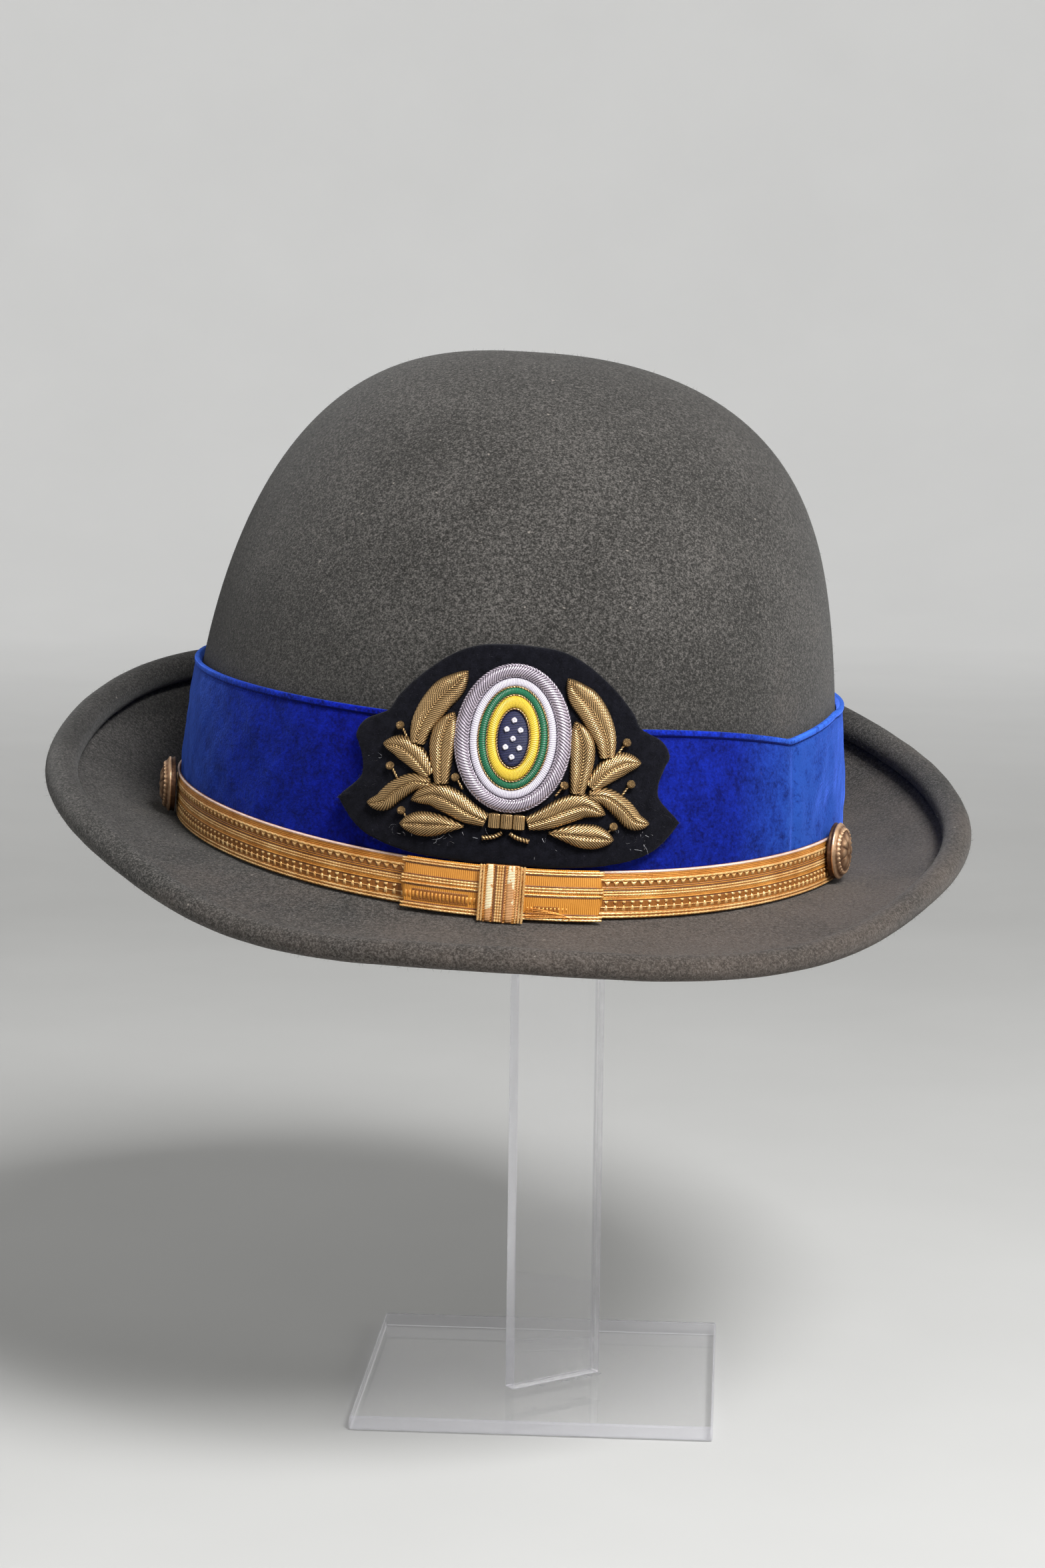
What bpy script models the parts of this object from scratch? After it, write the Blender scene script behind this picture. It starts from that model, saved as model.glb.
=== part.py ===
"""Felt hat with a velvet band, gold braid and an embroidered badge, on a clear stand.

The stand is built in the world frame: its origin is the bottom centre of the base plate,
+Z is up and -Y is the front. The hat is built in a frame of its own, carried by an empty:
the origin lies on the crown's axis where crown and brim meet, +Z runs up the crown and -Y
is the hat's front. A place round the hat is a turn in degrees from the front to +X, and a
place on the badge is an across and an up from the centre of its oval. Lengths are metres.
"""
import math
from typing import Callable, NamedTuple, Sequence

import bmesh
import bpy
import numpy as np
from mathutils import Euler, Matrix, Vector

# Hat block and felt
HEAD_WIDTH = 0.180
HEAD_LENGTH = 0.202
CROWN_HEIGHT = 0.132
FELT_WALL = 0.0024
CROWN_FILLET = 0.0028
SADDLE_DIP = 0.0044
BRIM_REACH = 0.042
BRIM_RISE = 0.0355
BRIM_HOLLOW = 13.0
ROLL_DIAMETER = 0.0094
ROLL_CURL = 268.0

# How the hat sits on the stand
HAT_PLACE_X = -0.0090
HAT_PLACE_Y = -0.0140
HAT_LEVEL = 0.1623
HAT_SIDE_TILT = 3.55
HAT_NOSE_TILT = 1.0
HAT_TURN = 3.6
TRIM_TURN = -1.5

# Clearance between pieces that touch on the real hat
CLEARANCE = 0.0003

# Velvet band
VELVET_WALL = 0.0017
BAND_TOP = 0.0435
HEM_HEIGHT = 0.0014
HEM_RELIEF = 0.0005
NOTCH_DROP = 0.0040
NOTCH_TURN = 52.0
NOTCH_RUN = 30.0
NOTCH_STEP = 20.0

# Braid strap, bow and knot
BRAID_HEIGHT = 0.0122
BRAID_WALL = 0.0012
STRAP_LEFT_END = -94.0
STRAP_RIGHT_END = 71.0
BOW_WIDTH = 0.0505
BOW_HEIGHT = 0.0130
BOW_WALL = 0.0021
KNOT_WIDTH = 0.0112
KNOT_HEIGHT = 0.0146
KNOT_WALL = 0.0011

# Buttons
BUTTON_DIAMETER = 0.0150
BUTTON_DEPTH = 0.0044
BUTTON_RIM = 0.0010
BUTTON_HEIGHT = 0.0086
BUTTON_LEFT_TURN = -80.0
BUTTON_RIGHT_TURN = 68.0

# Badge
BADGE_WIDTH = 0.0870
BADGE_HEIGHT = 0.0542
BACKING_WALL = 0.0024
OVAL_WIDTH = 0.0284
OVAL_HEIGHT = 0.0362
OVAL_RELIEF = 0.0016
RING_GAP = 0.0003
LEAF_RELIEF = 0.0016
BERRY_DIAMETER = 0.0020
TIE_WIDTH = 0.0088
TIE_HEIGHT = 0.0040
TIE_RELIEF = 0.0024
TAIL_THICKNESS = 0.0012

# Stand
PLATE_SIDE = 0.100
PLATE_WALL = 0.004
PLATE_BEVEL = 0.0006
STRIP_WIDTH = 0.030
STRIP_WALL = 0.004
STRIP_PLACE_X = 0.0040
STRIP_PLACE_Y = -0.0122
STRIP_TURN = 38.8
HEAD_PLATE_LEVEL = 0.106
HEAD_PLATE_WALL = 0.004
HEAD_PLATE_PLAY = 0.0006

# Fineness of the faceted surfaces
STATIONS = 48
CROWN_ROWS = 11
FILLET_ROWS = 3
BRIM_ROWS = 4
CURL_ROWS = 8
RING_STATIONS = 28
BEND_STEP = 0.0075


class CrownSide(NamedTuple):
    """Shape of the crown's outline on one side: exponents of its curve, and its lean."""

    fullness: float
    shoulder: float
    lean: float


class BrimRow(NamedTuple):
    """One station of the brim: its turn, then shares of reach, rise and roll diameter."""

    turn: float
    reach: float
    rise: float
    roll: float


class RingRow(NamedTuple):
    """One ring of the oval: outer and inner half axes as shares of the oval's own."""

    name: str
    outer_across: float
    outer_up: float
    inner_across: float
    inner_up: float
    relief: float


class Leaf(NamedTuple):
    """One leaf of the wreath: its width and its midrib's route, in units of the grid."""

    width: float
    route: tuple[tuple[float, float], ...]


class Finish(NamedTuple):
    """Plain colour and surface of one material."""

    colour: tuple[float, float, float]
    roughness: float
    metallic: float = 0.0
    transmission: float = 0.0


# Left and right are the viewer's, facing the badge
CROWN_LEFT = CrownSide(2.86, 1.67, -0.122)
CROWN_RIGHT = CrownSide(2.19, 5.10, 0.143)
CROWN_FRONT_BACK = CrownSide(2.20, 2.30, 0.0)

BRIM = (
    BrimRow(0, 0.97, -0.215, 0.68),
    BrimRow(30, 0.98, -0.185, 0.67),
    BrimRow(60, 0.80, 0.100, 0.75),
    BrimRow(90, 0.75, 0.370, 0.87),
    BrimRow(120, 0.72, 0.685, 0.92),
    BrimRow(150, 0.69, 0.960, 1.00),
    BrimRow(180, 0.67, 1.000, 1.00),
    BrimRow(210, 0.70, 0.905, 1.00),
    BrimRow(240, 0.80, 0.770, 0.93),
    BrimRow(270, 0.82, 0.425, 0.94),
    BrimRow(300, 0.87, 0.140, 0.88),
    BrimRow(330, 0.88, -0.255, 0.68),
)

# Right half of the badge's outline, top to bottom, as shares of half its width and its height
BADGE_OUTLINE = (
    (0.000, 0.417), (0.230, 0.402), (0.402, 0.347), (0.575, 0.240), (0.694, 0.138),
    (0.747, 0.068), (0.885, 0.011), (0.931, -0.055), (0.901, -0.111), (0.864, -0.192),
    (0.883, -0.258), (0.998, -0.349), (0.995, -0.373), (0.908, -0.454), (0.786, -0.517),
    (0.593, -0.559), (0.368, -0.577), (0.000, -0.583),
)

RINGS = (
    RingRow("oval_border", 1.000, 1.000, 0.755, 0.826, 1.00),
    RingRow("oval_white", 0.755, 0.826, 0.600, 0.695, 0.60),
    RingRow("oval_green", 0.600, 0.695, 0.455, 0.585, 0.60),
    RingRow("oval_yellow", 0.455, 0.585, 0.280, 0.400, 0.75),
    RingRow("oval_centre", 0.280, 0.400, 0.000, 0.000, 0.45),
)

# Right half of the wreath, drawn on a grid whose unit is half the badge's width
LEAVES = (
    Leaf(0.110, ((0.522, -0.065), (0.526, 0.051), (0.469, 0.184), (0.292, 0.349))),
    Leaf(0.112, ((0.384, -0.249), (0.400, -0.174), (0.402, -0.065), (0.356, 0.120))),
    Leaf(0.097, ((0.500, -0.206), (0.545, -0.162), (0.620, -0.122), (0.756, -0.098))),
    Leaf(0.082, ((0.520, -0.294), (0.585, -0.319), (0.655, -0.380), (0.735, -0.455),
                 (0.818, -0.436))),
    Leaf(0.115, ((0.122, -0.478), (0.218, -0.430), (0.345, -0.374), (0.440, -0.366),
                 (0.540, -0.399))),
    Leaf(0.092, ((0.225, -0.538), (0.400, -0.563), (0.609, -0.552))),
)
BERRIES = ((0.645, 0.012), (0.680, -0.222), (0.300, -0.244), (0.590, -0.466))
TAIL_ROUTE = ((0.020, 0.000), (0.065, -0.025), (0.130, -0.040))
GRID_OVAL_ACROSS = 0.326
GRID_OVAL_UP = 0.416
GRID_BADGE_UP = 1.246

FELT = Finish((0.065, 0.067, 0.056), 0.95)
VELVET = Finish((0.010, 0.030, 0.420), 0.80)
BRAID = Finish((0.560, 0.250, 0.050), 0.45)
GILT = Finish((0.300, 0.170, 0.090), 0.40, 0.9)
WOOL = Finish((0.008, 0.008, 0.014), 0.95)
SILVER = Finish((0.520, 0.480, 0.550), 0.40, 0.6)
SATIN = Finish((0.700, 0.660, 0.740), 0.50)
GREEN = Finish((0.003, 0.220, 0.085), 0.55)
YELLOW = Finish((0.770, 0.600, 0.060), 0.55)
NAVY = Finish((0.014, 0.020, 0.110), 0.60)
BULLION = Finish((0.300, 0.170, 0.050), 0.35, 0.8)
ACRYLIC = Finish((0.920, 0.920, 0.960), 0.05, 0.0, 1.0)
RING_FINISHES = (SILVER, SATIN, GREEN, YELLOW, NAVY)

# Depths of the layers on the crown's wall, from the felt outwards
BAND_BACK = CLEARANCE
BAND_FRONT = BAND_BACK + VELVET_WALL
STRAP_BACK = BAND_FRONT + CLEARANCE
STRAP_FRONT = STRAP_BACK + BRAID_WALL
BOW_BACK = STRAP_FRONT + CLEARANCE
BOW_FRONT = BOW_BACK + BOW_WALL
KNOT_BACK = BOW_FRONT + CLEARANCE
BUTTON_BACK = STRAP_FRONT + CLEARANCE
BACKING_BACK = BAND_FRONT + HEM_RELIEF + CLEARANCE
STITCH_BACK = BACKING_BACK + BACKING_WALL + CLEARANCE

# The band starts above the crown's fillet
BAND_FOOT = 0.8 * CROWN_FILLET

# Heights: the bow and knot are centred on the strap, and the badge stands just above the bow
STRAP_MIDDLE = CLEARANCE + 0.5 * BRAID_HEIGHT
BADGE_FOOT = STRAP_MIDDLE + 0.5 * BOW_HEIGHT + CLEARANCE - SADDLE_DIP
BADGE_LEVEL = BADGE_FOOT - BADGE_HEIGHT * BADGE_OUTLINE[-1][1]
TIE_FOOT = -0.5 * OVAL_HEIGHT - CLEARANCE - TIE_HEIGHT


def clear_scene() -> None:
    """Remove every object from the scene."""
    for thing in list(bpy.data.objects):
        bpy.data.objects.remove(thing, do_unlink=True)


def side_share(side: CrownSide, height: float) -> float:
    """Return how far out one side of the crown lies at a height, as a share of its foot."""
    share = min(max(height / CROWN_HEIGHT, 0.0), 1.0)
    curve = max(1.0 - share ** side.shoulder, 0.0) ** (1.0 / side.fullness)
    return curve * (1.0 - side.lean * share)


def crown_point(turn: float, height: float) -> Vector:
    """Return a point on the outside of the crown."""
    angle = math.radians(turn)
    side = CROWN_RIGHT if math.sin(angle) > 0 else CROWN_LEFT
    across = 0.5 * HEAD_WIDTH * side_share(side, height)
    along = 0.5 * HEAD_LENGTH * side_share(CROWN_FRONT_BACK, height)
    return Vector((across * math.sin(angle), -along * math.cos(angle), height))


def outward(turn: float, height: float = 0.0) -> Vector:
    """Return the level unit vector that points out of the crown's wall."""
    step = 0.01
    edge = crown_point(turn + step, height) - crown_point(turn - step, height)
    return Vector((edge.y, -edge.x, 0.0)).normalized()


def wall_normal(turn: float, height: float) -> Vector:
    """Return the unit vector square to the crown's wall, which leans."""
    step = 0.5 * FELT_WALL
    rising = crown_point(turn, height + step) - crown_point(turn, height - step)
    level = Vector((0.0, 0.0, 1.0)).cross(outward(turn, height))
    return level.cross(rising).normalized()


def inside_crown(turn: float, height: float, play: float) -> Vector:
    """Return the point at a height that lies a play inside the crown's inner face."""
    inset = FELT_WALL + play
    over = height
    for _ in range(8):
        over = height + inset * wall_normal(turn, over).z
    return crown_point(turn, over) - wall_normal(turn, over) * inset


def wall_point(turn: float, height: float, depth: float) -> Vector:
    """Return a point at a depth in front of the crown's wall, which leans on above the band."""
    seat = min(height, BAND_TOP)
    foot = crown_point(turn, seat)
    if height > seat:
        foot = foot + (foot - crown_point(turn, seat - FELT_WALL)) * ((height - seat) / FELT_WALL)
    return foot + outward(turn, seat) * depth


def junction(turn: float) -> float:
    """Return the height at which the brim's top meets the crown."""
    return -SADDLE_DIP * math.cos(math.radians(turn)) ** 2


def round_the_brim(column: str, turn: float) -> float:
    """Read one column of the brim's table smoothly at any turn."""
    values = [getattr(row, column) for row in BRIM]
    place = (turn % 360.0) / (360.0 / len(BRIM))
    first = int(place)
    part = place - first
    before, here, after, beyond = (values[(first + k) % len(BRIM)] for k in (-1, 0, 1, 2))
    rising = 0.5 * (after - before)
    falling = 0.5 * (beyond - here)
    blend = part * part * (3.0 - 2.0 * part)
    return (here + (after - here) * blend
            + rising * part * (1.0 - part) ** 2 - falling * part ** 2 * (1.0 - part))


def brim_path(turn: float) -> list[tuple[float, float]]:
    """Return the brim's top line as offsets from the crown and heights, with its curl."""
    base = junction(turn)
    reach = BRIM_REACH * round_the_brim("reach", turn)
    rise = BRIM_RISE * round_the_brim("rise", turn)
    bore = 0.5 * ROLL_DIAMETER * round_the_brim("roll", turn) - FELT_WALL
    slope = math.atan2(rise - base, reach)
    leave = slope - math.radians(BRIM_HOLLOW)
    arrive = slope + math.radians(BRIM_HOLLOW)

    def arc(centre: tuple[float, float], radius: float, angle: float) -> tuple[float, float]:
        return centre[0] + radius * math.sin(angle), centre[1] - radius * math.cos(angle)

    corner = (CROWN_FILLET, base + CROWN_FILLET)
    start = -0.5 * math.pi
    path = [arc(corner, CROWN_FILLET, start + (leave - start) * k / FILLET_ROWS)
            for k in range(FILLET_ROWS + 1)]
    first = path[-1]
    last = arc((reach, rise), bore, arrive)
    pull = math.dist(first, last) / 3.0
    near = (first[0] + pull * math.cos(leave), first[1] + pull * math.sin(leave))
    far = (last[0] - pull * math.cos(arrive), last[1] - pull * math.sin(arrive))
    for k in range(1, BRIM_ROWS):
        s = k / BRIM_ROWS
        weights = ((1 - s) ** 3, 3 * s * (1 - s) ** 2, 3 * s * s * (1 - s), s ** 3)
        path.append(tuple(sum(w * point[axis] for w, point in zip(weights, (first, near, far, last)))
                          for axis in (0, 1)))
    curl = math.radians(ROLL_CURL)
    path += [arc((reach, rise), bore, arrive + curl * k / CURL_ROWS)
             for k in range(CURL_ROWS + 1)]
    return path


def loft(sections: Sequence[Sequence[Vector]], ring: bool, tube: bool = True) -> bpy.types.Mesh:
    """Build a mesh by joining sections of equal count.

    Args:
        sections: The sections in order, each a loop or a line of points.
        ring: Whether the last section joins the first.
        tube: Whether each section is a closed loop, capped where the sections end.

    Returns:
        The new mesh.
    """
    bm = bmesh.new()
    rows = [[bm.verts.new(point) for point in section] for section in sections]
    count = len(rows[0])
    pairs = list(zip(rows, rows[1:])) + ([(rows[-1], rows[0])] if ring else [])
    for here, there in pairs:
        for k in range(count if tube else count - 1):
            m = (k + 1) % count
            bm.faces.new((here[k], here[m], there[m], there[k]))
    if tube and not ring:
        bm.faces.new(list(reversed(rows[0])))
        bm.faces.new(rows[-1])
    if tube:
        bmesh.ops.recalc_face_normals(bm, faces=bm.faces)
    mesh = bpy.data.meshes.new("loft")
    bm.to_mesh(mesh)
    bm.free()
    return mesh


def spline(points: Sequence[tuple[float, float]], steps: int) -> list[Vector]:
    """Return a smooth line through flat points, with a number of steps between each pair."""
    line = [Vector((p[0], p[1], 0.0)) for p in points]
    ends = [2 * line[0] - line[1]] + line + [2 * line[-1] - line[-2]]
    smooth = []
    for k in range(1, len(ends) - 2):
        before, here, after, beyond = ends[k - 1:k + 3]
        for m in range(steps):
            s = m / steps
            smooth.append(0.5 * (2 * here + (after - before) * s
                                 + (2 * before - 5 * here + 4 * after - beyond) * s ** 2
                                 + (3 * here - before - 3 * after + beyond) * s ** 3))
    return smooth + [line[-1]]


class Builder:
    """Keeps the collection, the hat's frame and the materials while pieces are added."""

    def __init__(self) -> None:
        self.parts = bpy.data.collections.new("hat_on_stand")
        bpy.context.scene.collection.children.link(self.parts)
        self.hat = bpy.data.objects.new("hat_frame", None)
        self.hat.location = (HAT_PLACE_X, HAT_PLACE_Y, HAT_LEVEL)
        tilts = (HAT_NOSE_TILT, HAT_SIDE_TILT, HAT_TURN)
        self.hat.rotation_euler = Euler([math.radians(tilt) for tilt in tilts])
        self.parts.objects.link(self.hat)
        self.arc_turns = np.linspace(-90.0, 90.0, 721)
        self.arc_lengths = self.measure_arc()

    def measure_arc(self) -> np.ndarray:
        """Return the lengths along the crown's wall at the badge, from its middle."""
        walls = [wall_point(turn, 0.5 * BAND_TOP, BACKING_BACK) for turn in self.arc_turns]
        steps = [(there - here).length for here, there in zip(walls, walls[1:])]
        lengths = np.concatenate([[0.0], np.cumsum(steps)])
        return lengths - np.interp(TRIM_TURN, self.arc_turns, lengths)

    def turn_at(self, across: float) -> float:
        """Return the turn of a place on the badge."""
        return float(np.interp(across, self.arc_lengths, self.arc_turns))

    def on_badge(self, across: float, up: float, depth: float) -> Vector:
        """Return the place in the hat's frame of a point on the badge."""
        return wall_point(self.turn_at(across), BADGE_LEVEL + up, depth)

    def bend(self, mesh: bpy.types.Mesh) -> None:
        """Bend a flat mesh, drawn with +Y up and +Z out, onto the front of the hat."""
        for vertex in mesh.vertices:
            vertex.co = self.on_badge(*vertex.co)

    def add(self, name: str, mesh: bpy.types.Mesh, finish: Finish, on_hat: bool = True
            ) -> bpy.types.Object:
        """Add one named piece with its own material."""
        mesh.name = name
        mat = bpy.data.materials.new(name)
        mat.use_nodes = True
        shader = mat.node_tree.nodes["Principled BSDF"]
        shader.inputs["Base Color"].default_value = (*finish.colour, 1.0)
        shader.inputs["Roughness"].default_value = finish.roughness
        shader.inputs["Metallic"].default_value = finish.metallic
        shader.inputs["Transmission Weight"].default_value = finish.transmission
        mat.diffuse_color = (*finish.colour, 1.0)
        mesh.materials.append(mat)
        mesh.shade_smooth()
        mesh.set_sharp_from_angle(angle=math.radians(40.0))
        piece = bpy.data.objects.new(name, mesh)
        if on_hat:
            piece.parent = self.hat
        self.parts.objects.link(piece)
        return piece


def build_felt(build: Builder) -> None:
    """Build crown and brim, which are one piece of felt, with the brim's edge rolled."""
    sections = []
    for k in range(STATIONS):
        turn = 360.0 * k / STATIONS
        path = brim_path(turn)
        start = path[0][1]
        line = []
        for row in range(CROWN_ROWS - 1, 0, -1):
            share = 1.0 - (1.0 - row / CROWN_ROWS) ** 2.2
            line.append(crown_point(turn, start + (CROWN_HEIGHT - start) * share))
        out = outward(turn)
        foot = crown_point(turn, 0.0)
        line += [Vector((foot.x, foot.y, 0.0)) + out * offset + Vector((0.0, 0.0, height))
                 for offset, height in path]
        line[CROWN_ROWS - 1] = crown_point(turn, start)
        sections.append(line)
    mesh = loft(sections, ring=True, tube=False)
    bm = bmesh.new()
    bm.from_mesh(mesh)
    rim = [edge for edge in bm.edges if edge.is_boundary
           and all(vertex.co.z > 0.9 * CROWN_HEIGHT for vertex in edge.verts)]
    bmesh.ops.edgeloop_fill(bm, edges=rim)
    top = max(bm.faces, key=lambda face: len(face.verts))
    apex = bmesh.ops.poke(bm, faces=[top])["verts"][0]
    apex.co = Vector((0.0, 0.0, CROWN_HEIGHT))
    bmesh.ops.recalc_face_normals(bm, faces=bm.faces)
    if apex.normal.z < 0.0:
        bmesh.ops.reverse_faces(bm, faces=bm.faces)
    bm.to_mesh(mesh)
    bm.free()
    felt = build.add("felt_body", mesh, FELT)
    shell = felt.modifiers.new("wall", "SOLIDIFY")
    shell.thickness = FELT_WALL
    shell.offset = -1.0
    shell.use_even_offset = True


def band_top(turn: float) -> float:
    """Return the height of the band's top edge, which sinks to a notch on the right."""
    past = turn - NOTCH_TURN
    if past > 0.0:
        return BAND_TOP - NOTCH_DROP * max(0.0, 1.0 - past / NOTCH_STEP)
    return BAND_TOP - NOTCH_DROP * max(0.0, 1.0 + past / NOTCH_RUN) ** 2


def build_band(build: Builder) -> None:
    """Build the velvet band, with a folded hem along its top."""
    turns = [360.0 * k / STATIONS - 180.0 for k in range(STATIONS)]
    turns = [turn for turn in turns if abs(turn - NOTCH_TURN) > 180.0 / STATIONS]
    turns = sorted(turns + [NOTCH_TURN])
    sections = []
    for turn in turns:
        foot = junction(turn) + BAND_FOOT
        head = band_top(turn)
        hem = head - HEM_HEIGHT
        shares = (0.0, 0.25, 0.5, 0.75, 1.0)
        back = [foot + (head - foot) * share for share in shares]
        front = [foot + (hem - foot) * share for share in reversed(shares)]
        section = [wall_point(turn, height, BAND_BACK) for height in back]
        section.append(wall_point(turn, head, BAND_FRONT + HEM_RELIEF))
        section.append(wall_point(turn, hem, BAND_FRONT + HEM_RELIEF))
        section += [wall_point(turn, height, BAND_FRONT) for height in front]
        sections.append(section)
    build.add("velvet_band", loft(sections, ring=True), VELVET)


def braid_piece(first: float, last: float, rest: float, height: float, back: float,
                wall: float) -> bpy.types.Mesh:
    """Return a strip of braid that stands on the brim and follows the crown's wall.

    Args:
        first: Turn at which it starts.
        last: Turn at which it ends.
        rest: Height of its lower edge above the brim.
        height: Its own height.
        back: Depth of its back.
        wall: Its thickness.

    Returns:
        The closed mesh.
    """
    count = max(4, round((last - first) * STATIONS / 360.0))
    edge = 0.25 * wall
    section = ((0.0, 0.0), (0.0, wall - edge), (edge, wall), (height - edge, wall),
               (height, wall - edge), (height, 0.0))
    sections = []
    for k in range(count + 1):
        turn = first + (last - first) * k / count
        foot = junction(turn) + rest
        sections.append([wall_point(turn, foot + up, back + out) for up, out in section])
    return loft(sections, ring=False)


def arc_width(turn: float, width: float) -> float:
    """Return the half turn that a width takes on the crown's wall."""
    step = 0.5
    chord = wall_point(turn + step, 0.0, BOW_BACK) - wall_point(turn - step, 0.0, BOW_BACK)
    return width * step / chord.length


def build_braid(build: Builder) -> None:
    """Build the strap from button to button, the flat bow and the knot over it."""
    strap = braid_piece(TRIM_TURN + STRAP_LEFT_END, TRIM_TURN + STRAP_RIGHT_END, CLEARANCE,
                        BRAID_HEIGHT, STRAP_BACK, BRAID_WALL)
    build.add("braid_strap", strap, BRAID)
    half = arc_width(TRIM_TURN, BOW_WIDTH)
    bow = braid_piece(TRIM_TURN - half, TRIM_TURN + half, STRAP_MIDDLE - 0.5 * BOW_HEIGHT,
                      BOW_HEIGHT, BOW_BACK, BOW_WALL)
    build.add("braid_bow", bow, BRAID)
    half = arc_width(TRIM_TURN, KNOT_WIDTH)
    knot = braid_piece(TRIM_TURN - half, TRIM_TURN + half, STRAP_MIDDLE - 0.5 * KNOT_HEIGHT,
                       KNOT_HEIGHT, KNOT_BACK, KNOT_WALL)
    build.add("braid_knot", knot, BRAID)


def build_button(build: Builder, name: str, turn: float) -> None:
    """Build one domed button with a raised rim, turned round its own axis."""
    radius = 0.5 * BUTTON_DIAMETER
    inner = radius - BUTTON_RIM
    profile = ((inner * 0.50, BUTTON_DEPTH * 0.93), (inner * 0.90, BUTTON_DEPTH * 0.62),
               (inner + 0.3 * BUTTON_RIM, BUTTON_DEPTH * 0.48), (radius, BUTTON_DEPTH * 0.42),
               (radius, 0.0))
    middle = Vector((0.0, 0.0, BUTTON_DEPTH))
    mesh = bpy.data.meshes.new(name)
    bm = bmesh.new()
    line = [bm.verts.new(middle)] + [bm.verts.new((r, 0.0, z)) for r, z in profile]
    line.append(bm.verts.new((0.0, 0.0, 0.0)))
    edges = [bm.edges.new(pair) for pair in zip(line, line[1:])]
    bmesh.ops.spin(bm, geom=line + edges, cent=(0, 0, 0), axis=(0, 0, 1), steps=RING_STATIONS,
                   angle=math.tau)
    bmesh.ops.remove_doubles(bm, verts=bm.verts, dist=0.00001)
    bmesh.ops.recalc_face_normals(bm, faces=bm.faces)
    height = junction(turn) + BUTTON_HEIGHT
    out = wall_normal(turn, height)
    place = wall_point(turn, height, BUTTON_BACK)
    bm.transform(Matrix.Translation(place) @ out.to_track_quat("Z", "Y").to_matrix().to_4x4())
    bm.to_mesh(mesh)
    bm.free()
    build.add(name, mesh, GILT)


def badge_place(share: tuple[float, float]) -> tuple[float, float]:
    """Turn shares of the badge into lengths across and up from its oval's centre."""
    return share[0] * 0.5 * BADGE_WIDTH, share[1] * BADGE_HEIGHT


def past_oval(place: float, grid_oval: float, half_oval: float, unit: float) -> float:
    """Turn a place on the wreath's grid into a length that keeps it clear of the oval."""
    near = min(abs(place), grid_oval)
    length = near / grid_oval * half_oval + (abs(place) - near) * unit
    return math.copysign(length, place)


def wreath_place(across: float, up: float) -> tuple[float, float]:
    """Turn a place on the wreath's grid into lengths across and up from the oval's centre."""
    side_room = 0.5 * (BADGE_WIDTH - OVAL_WIDTH) / (1.0 - GRID_OVAL_ACROSS)
    return (past_oval(across, GRID_OVAL_ACROSS, 0.5 * OVAL_WIDTH, side_room),
            past_oval(up, GRID_OVAL_UP, 0.5 * OVAL_HEIGHT, BADGE_HEIGHT / GRID_BADGE_UP))


def spread_wreath(mesh: bpy.types.Mesh) -> None:
    """Turn a mesh drawn on the wreath's grid into lengths, with its depths as they are."""
    for vertex in mesh.vertices:
        vertex.co.xy = wreath_place(vertex.co.x, vertex.co.y)


def build_backing(build: Builder) -> None:
    """Build the badge's wool backing from its flat outline, and bend it onto the hat."""
    half = [badge_place(share) for share in BADGE_OUTLINE]
    mirrored = [(-across, up) for across, up in reversed(half[1:-1])]
    outline = spline(half + mirrored + [half[0]], 2)[:-1]
    bm = bmesh.new()
    flat = bm.faces.new([bm.verts.new(point) for point in outline])
    grown = bmesh.ops.extrude_face_region(bm, geom=[flat])["geom"]
    tops = [item for item in grown if isinstance(item, bmesh.types.BMVert)]
    bmesh.ops.translate(bm, verts=tops, vec=(0.0, 0.0, BACKING_WALL))
    count = int(0.5 * BADGE_WIDTH / BEND_STEP)
    cuts = [((k * BEND_STEP, 0.0, 0.0), (1.0, 0.0, 0.0)) for k in range(-count, count + 1)]
    hem_line = BAND_TOP - BADGE_LEVEL
    cuts += [((0.0, hem_line - 1.5 * k * BEND_STEP, 0.0), (0.0, 1.0, 0.0)) for k in range(4)]
    for place, across in cuts:
        every = bm.verts[:] + bm.edges[:] + bm.faces[:]
        bmesh.ops.bisect_plane(bm, geom=every, plane_co=place, plane_no=across, dist=0.00001)
    bmesh.ops.triangulate(bm, faces=bm.faces)
    bmesh.ops.recalc_face_normals(bm, faces=bm.faces)
    bmesh.ops.translate(bm, verts=bm.verts, vec=(0.0, 0.0, BACKING_BACK))
    mesh = bpy.data.meshes.new("badge_backing")
    bm.to_mesh(mesh)
    bm.free()
    build.bend(mesh)
    build.add("badge_backing", mesh, WOOL)


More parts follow.
